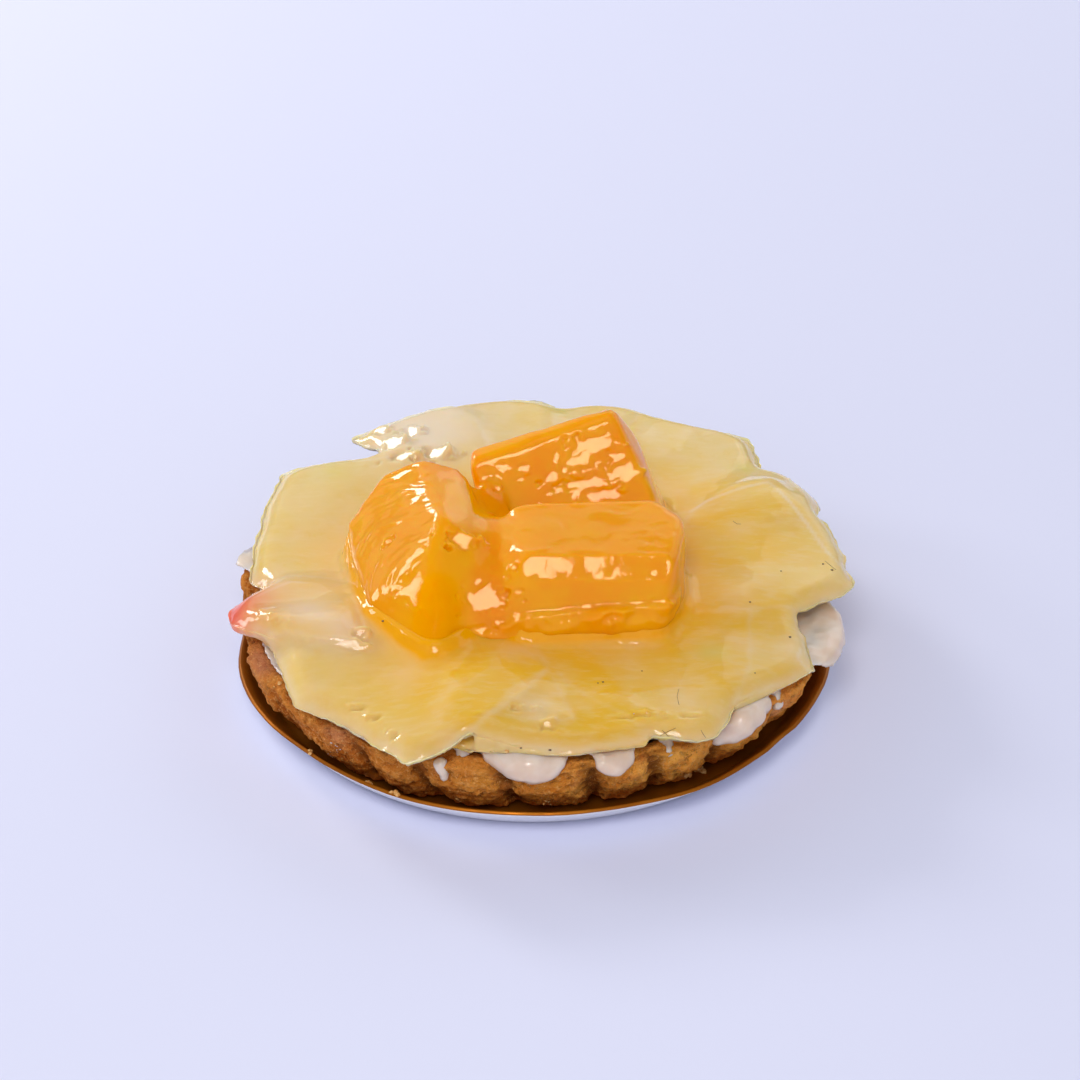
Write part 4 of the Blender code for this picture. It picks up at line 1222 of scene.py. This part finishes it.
def make_crumbs(name, groups, carriers, finish, slot, seed):
    """Small rough grains that lie on what is under them, as one mesh."""
    chance = np.random.default_rng(seed)
    work = bmesh.new()
    for *pixel, count, scatter, size in groups:
        centre = Vector(landed(pixel, carriers))
        for _ in range(count):
            above = centre + Vector((*chance.normal(0.0, 0.6 * scatter * MM, 2), GRAIN_START))
            hit = carriers.ray_cast(above, DOWN)[0]
            if hit is None or hit.z < centre.z - GRAIN_DROP:
                continue
            radius = size * MM * chance.uniform(0.5, 1.2)
            grown = bmesh.ops.create_icosphere(work, subdivisions=2, radius=radius)
            for vertex in grown["verts"]:
                vertex.co *= chance.uniform(0.8, 1.15)
            squash = (1.0, chance.uniform(0.6, 1.0), chance.uniform(0.55, 0.9))
            bmesh.ops.scale(work, verts=grown["verts"], vec=squash)
            turn = Matrix.Rotation(chance.uniform(0.0, math.tau), 3, "Z")
            bmesh.ops.rotate(work, verts=grown["verts"], matrix=turn)
            bmesh.ops.translate(work, verts=grown["verts"], vec=hit + Vector((0.0, 0.0, 0.35 * radius)))
    return add_piece(name, mesh_from(work, name), finish, slot)


DENT_HEIGHT, DENT_SIZE, DENT_RADIUS = 0.16 * MM, 7.0 * MM, 42.0 * MM
DENT_RANGE = (0.6 * MM, 4.5 * MM)  # heights between which the wall's dents grow


def make_tray(finish):
    """The tray, in finer faces, with small dents in its card."""
    mesh = joined("card_tray")
    work = bmesh.new()
    work.from_mesh(mesh)
    bmesh.ops.subdivide_edges(work, edges=work.edges, cuts=2, use_grid_fill=True)
    work.to_mesh(mesh)
    work.free()
    points = coordinates(mesh)
    outwards = points * np.array((1.0, 1.0, 0.0))
    outwards /= np.maximum(np.linalg.norm(outwards, axis=1), 1e-9)[:, None]
    dent = DENT_HEIGHT * lumps(outwards * DENT_RADIUS, DENT_SIZE, 80) * ramped(points[:, 2], *DENT_RANGE)
    place(mesh, points + outwards * dent[:, None])
    piece = add_piece("card_tray_lined", mesh, finish, "card_gold", "card_tray")
    mesh.set_sharp_from_angle(angle=math.radians(35.0))
    return piece


# ---------------------------------------------------------------- the scene

FLOOR_REACH, FLOOR_DROP = 2.5, 0.05 * MM


def main():
    """Dresses the tart and lights it."""
    make_camera()
    for name, spec in LAMPS.items():
        make_lamp(name, spec)
    world = bpy.data.worlds.new("room")
    world.use_nodes = True
    tree = world.node_tree
    background = tree.nodes["Background"]
    background.inputs["Color"].default_value = (*WORLD_COLOUR, 1.0)
    way = tree.nodes.new("ShaderNodeSeparateXYZ")
    tree.links.new(tree.nodes.new("ShaderNodeTexCoord").outputs["Generated"], way.inputs[0])
    change = tree.nodes.new("ShaderNodeMapRange")
    change.interpolation_type = "SMOOTHSTEP"
    tree.links.new(way.outputs["Y"], change.inputs["Value"])
    for key, value in zip(RANGE_INPUTS[1:], (*WORLD_TURN, WORLD_FRONT, WORLD_BACK)):
        change.inputs[key].default_value = value
    tree.links.new(change.outputs["Result"], background.inputs["Strength"])
    bpy.context.scene.world = world
    bpy.context.scene.view_settings.view_transform = "Standard"
    bpy.context.scene.view_settings.look = "None"

    floor_mesh = bpy.data.meshes.new("floor")
    corners = [(x * FLOOR_REACH, y * FLOOR_REACH, 0.0) for x, y in ((-1, -1), (1, -1), (1, 1), (-1, 1))]
    floor_mesh.from_pydata(corners, [], [(0, 1, 2, 3)])
    floor_mesh.materials.append(floor_finish())
    floor = bpy.data.objects.new("floor", floor_mesh)
    floor.location.z = -FLOOR_DROP
    bpy.context.scene.collection.objects.link(floor)

    topping = make_topping([tree_of(joined(node)) for node in PEACHES], apple_finish())
    blocks = make_peaches(tree_over(topping), peach_finish())
    crust = make_crust(crust_finish())
    carriers = bmesh.new()
    for node in ("cream_filling", "crust_shell"):
        carriers.from_mesh(joined(node))
    make_cream(BVHTree.FromBMesh(carriers), cream_finish())
    tray = make_tray(tray_finish())
    make_specks(tree_over(topping, blocks), speck_finish())
    ground = tree_over(crust, tray, topping)
    make_crumbs("crust_crumbs", CRUMBS, ground, crumb_finish(), "shortcrust", 5)
    make_crumbs("sugar_grains", SUGAR, ground, sugar_finish(), "shortcrust", 6)


main()
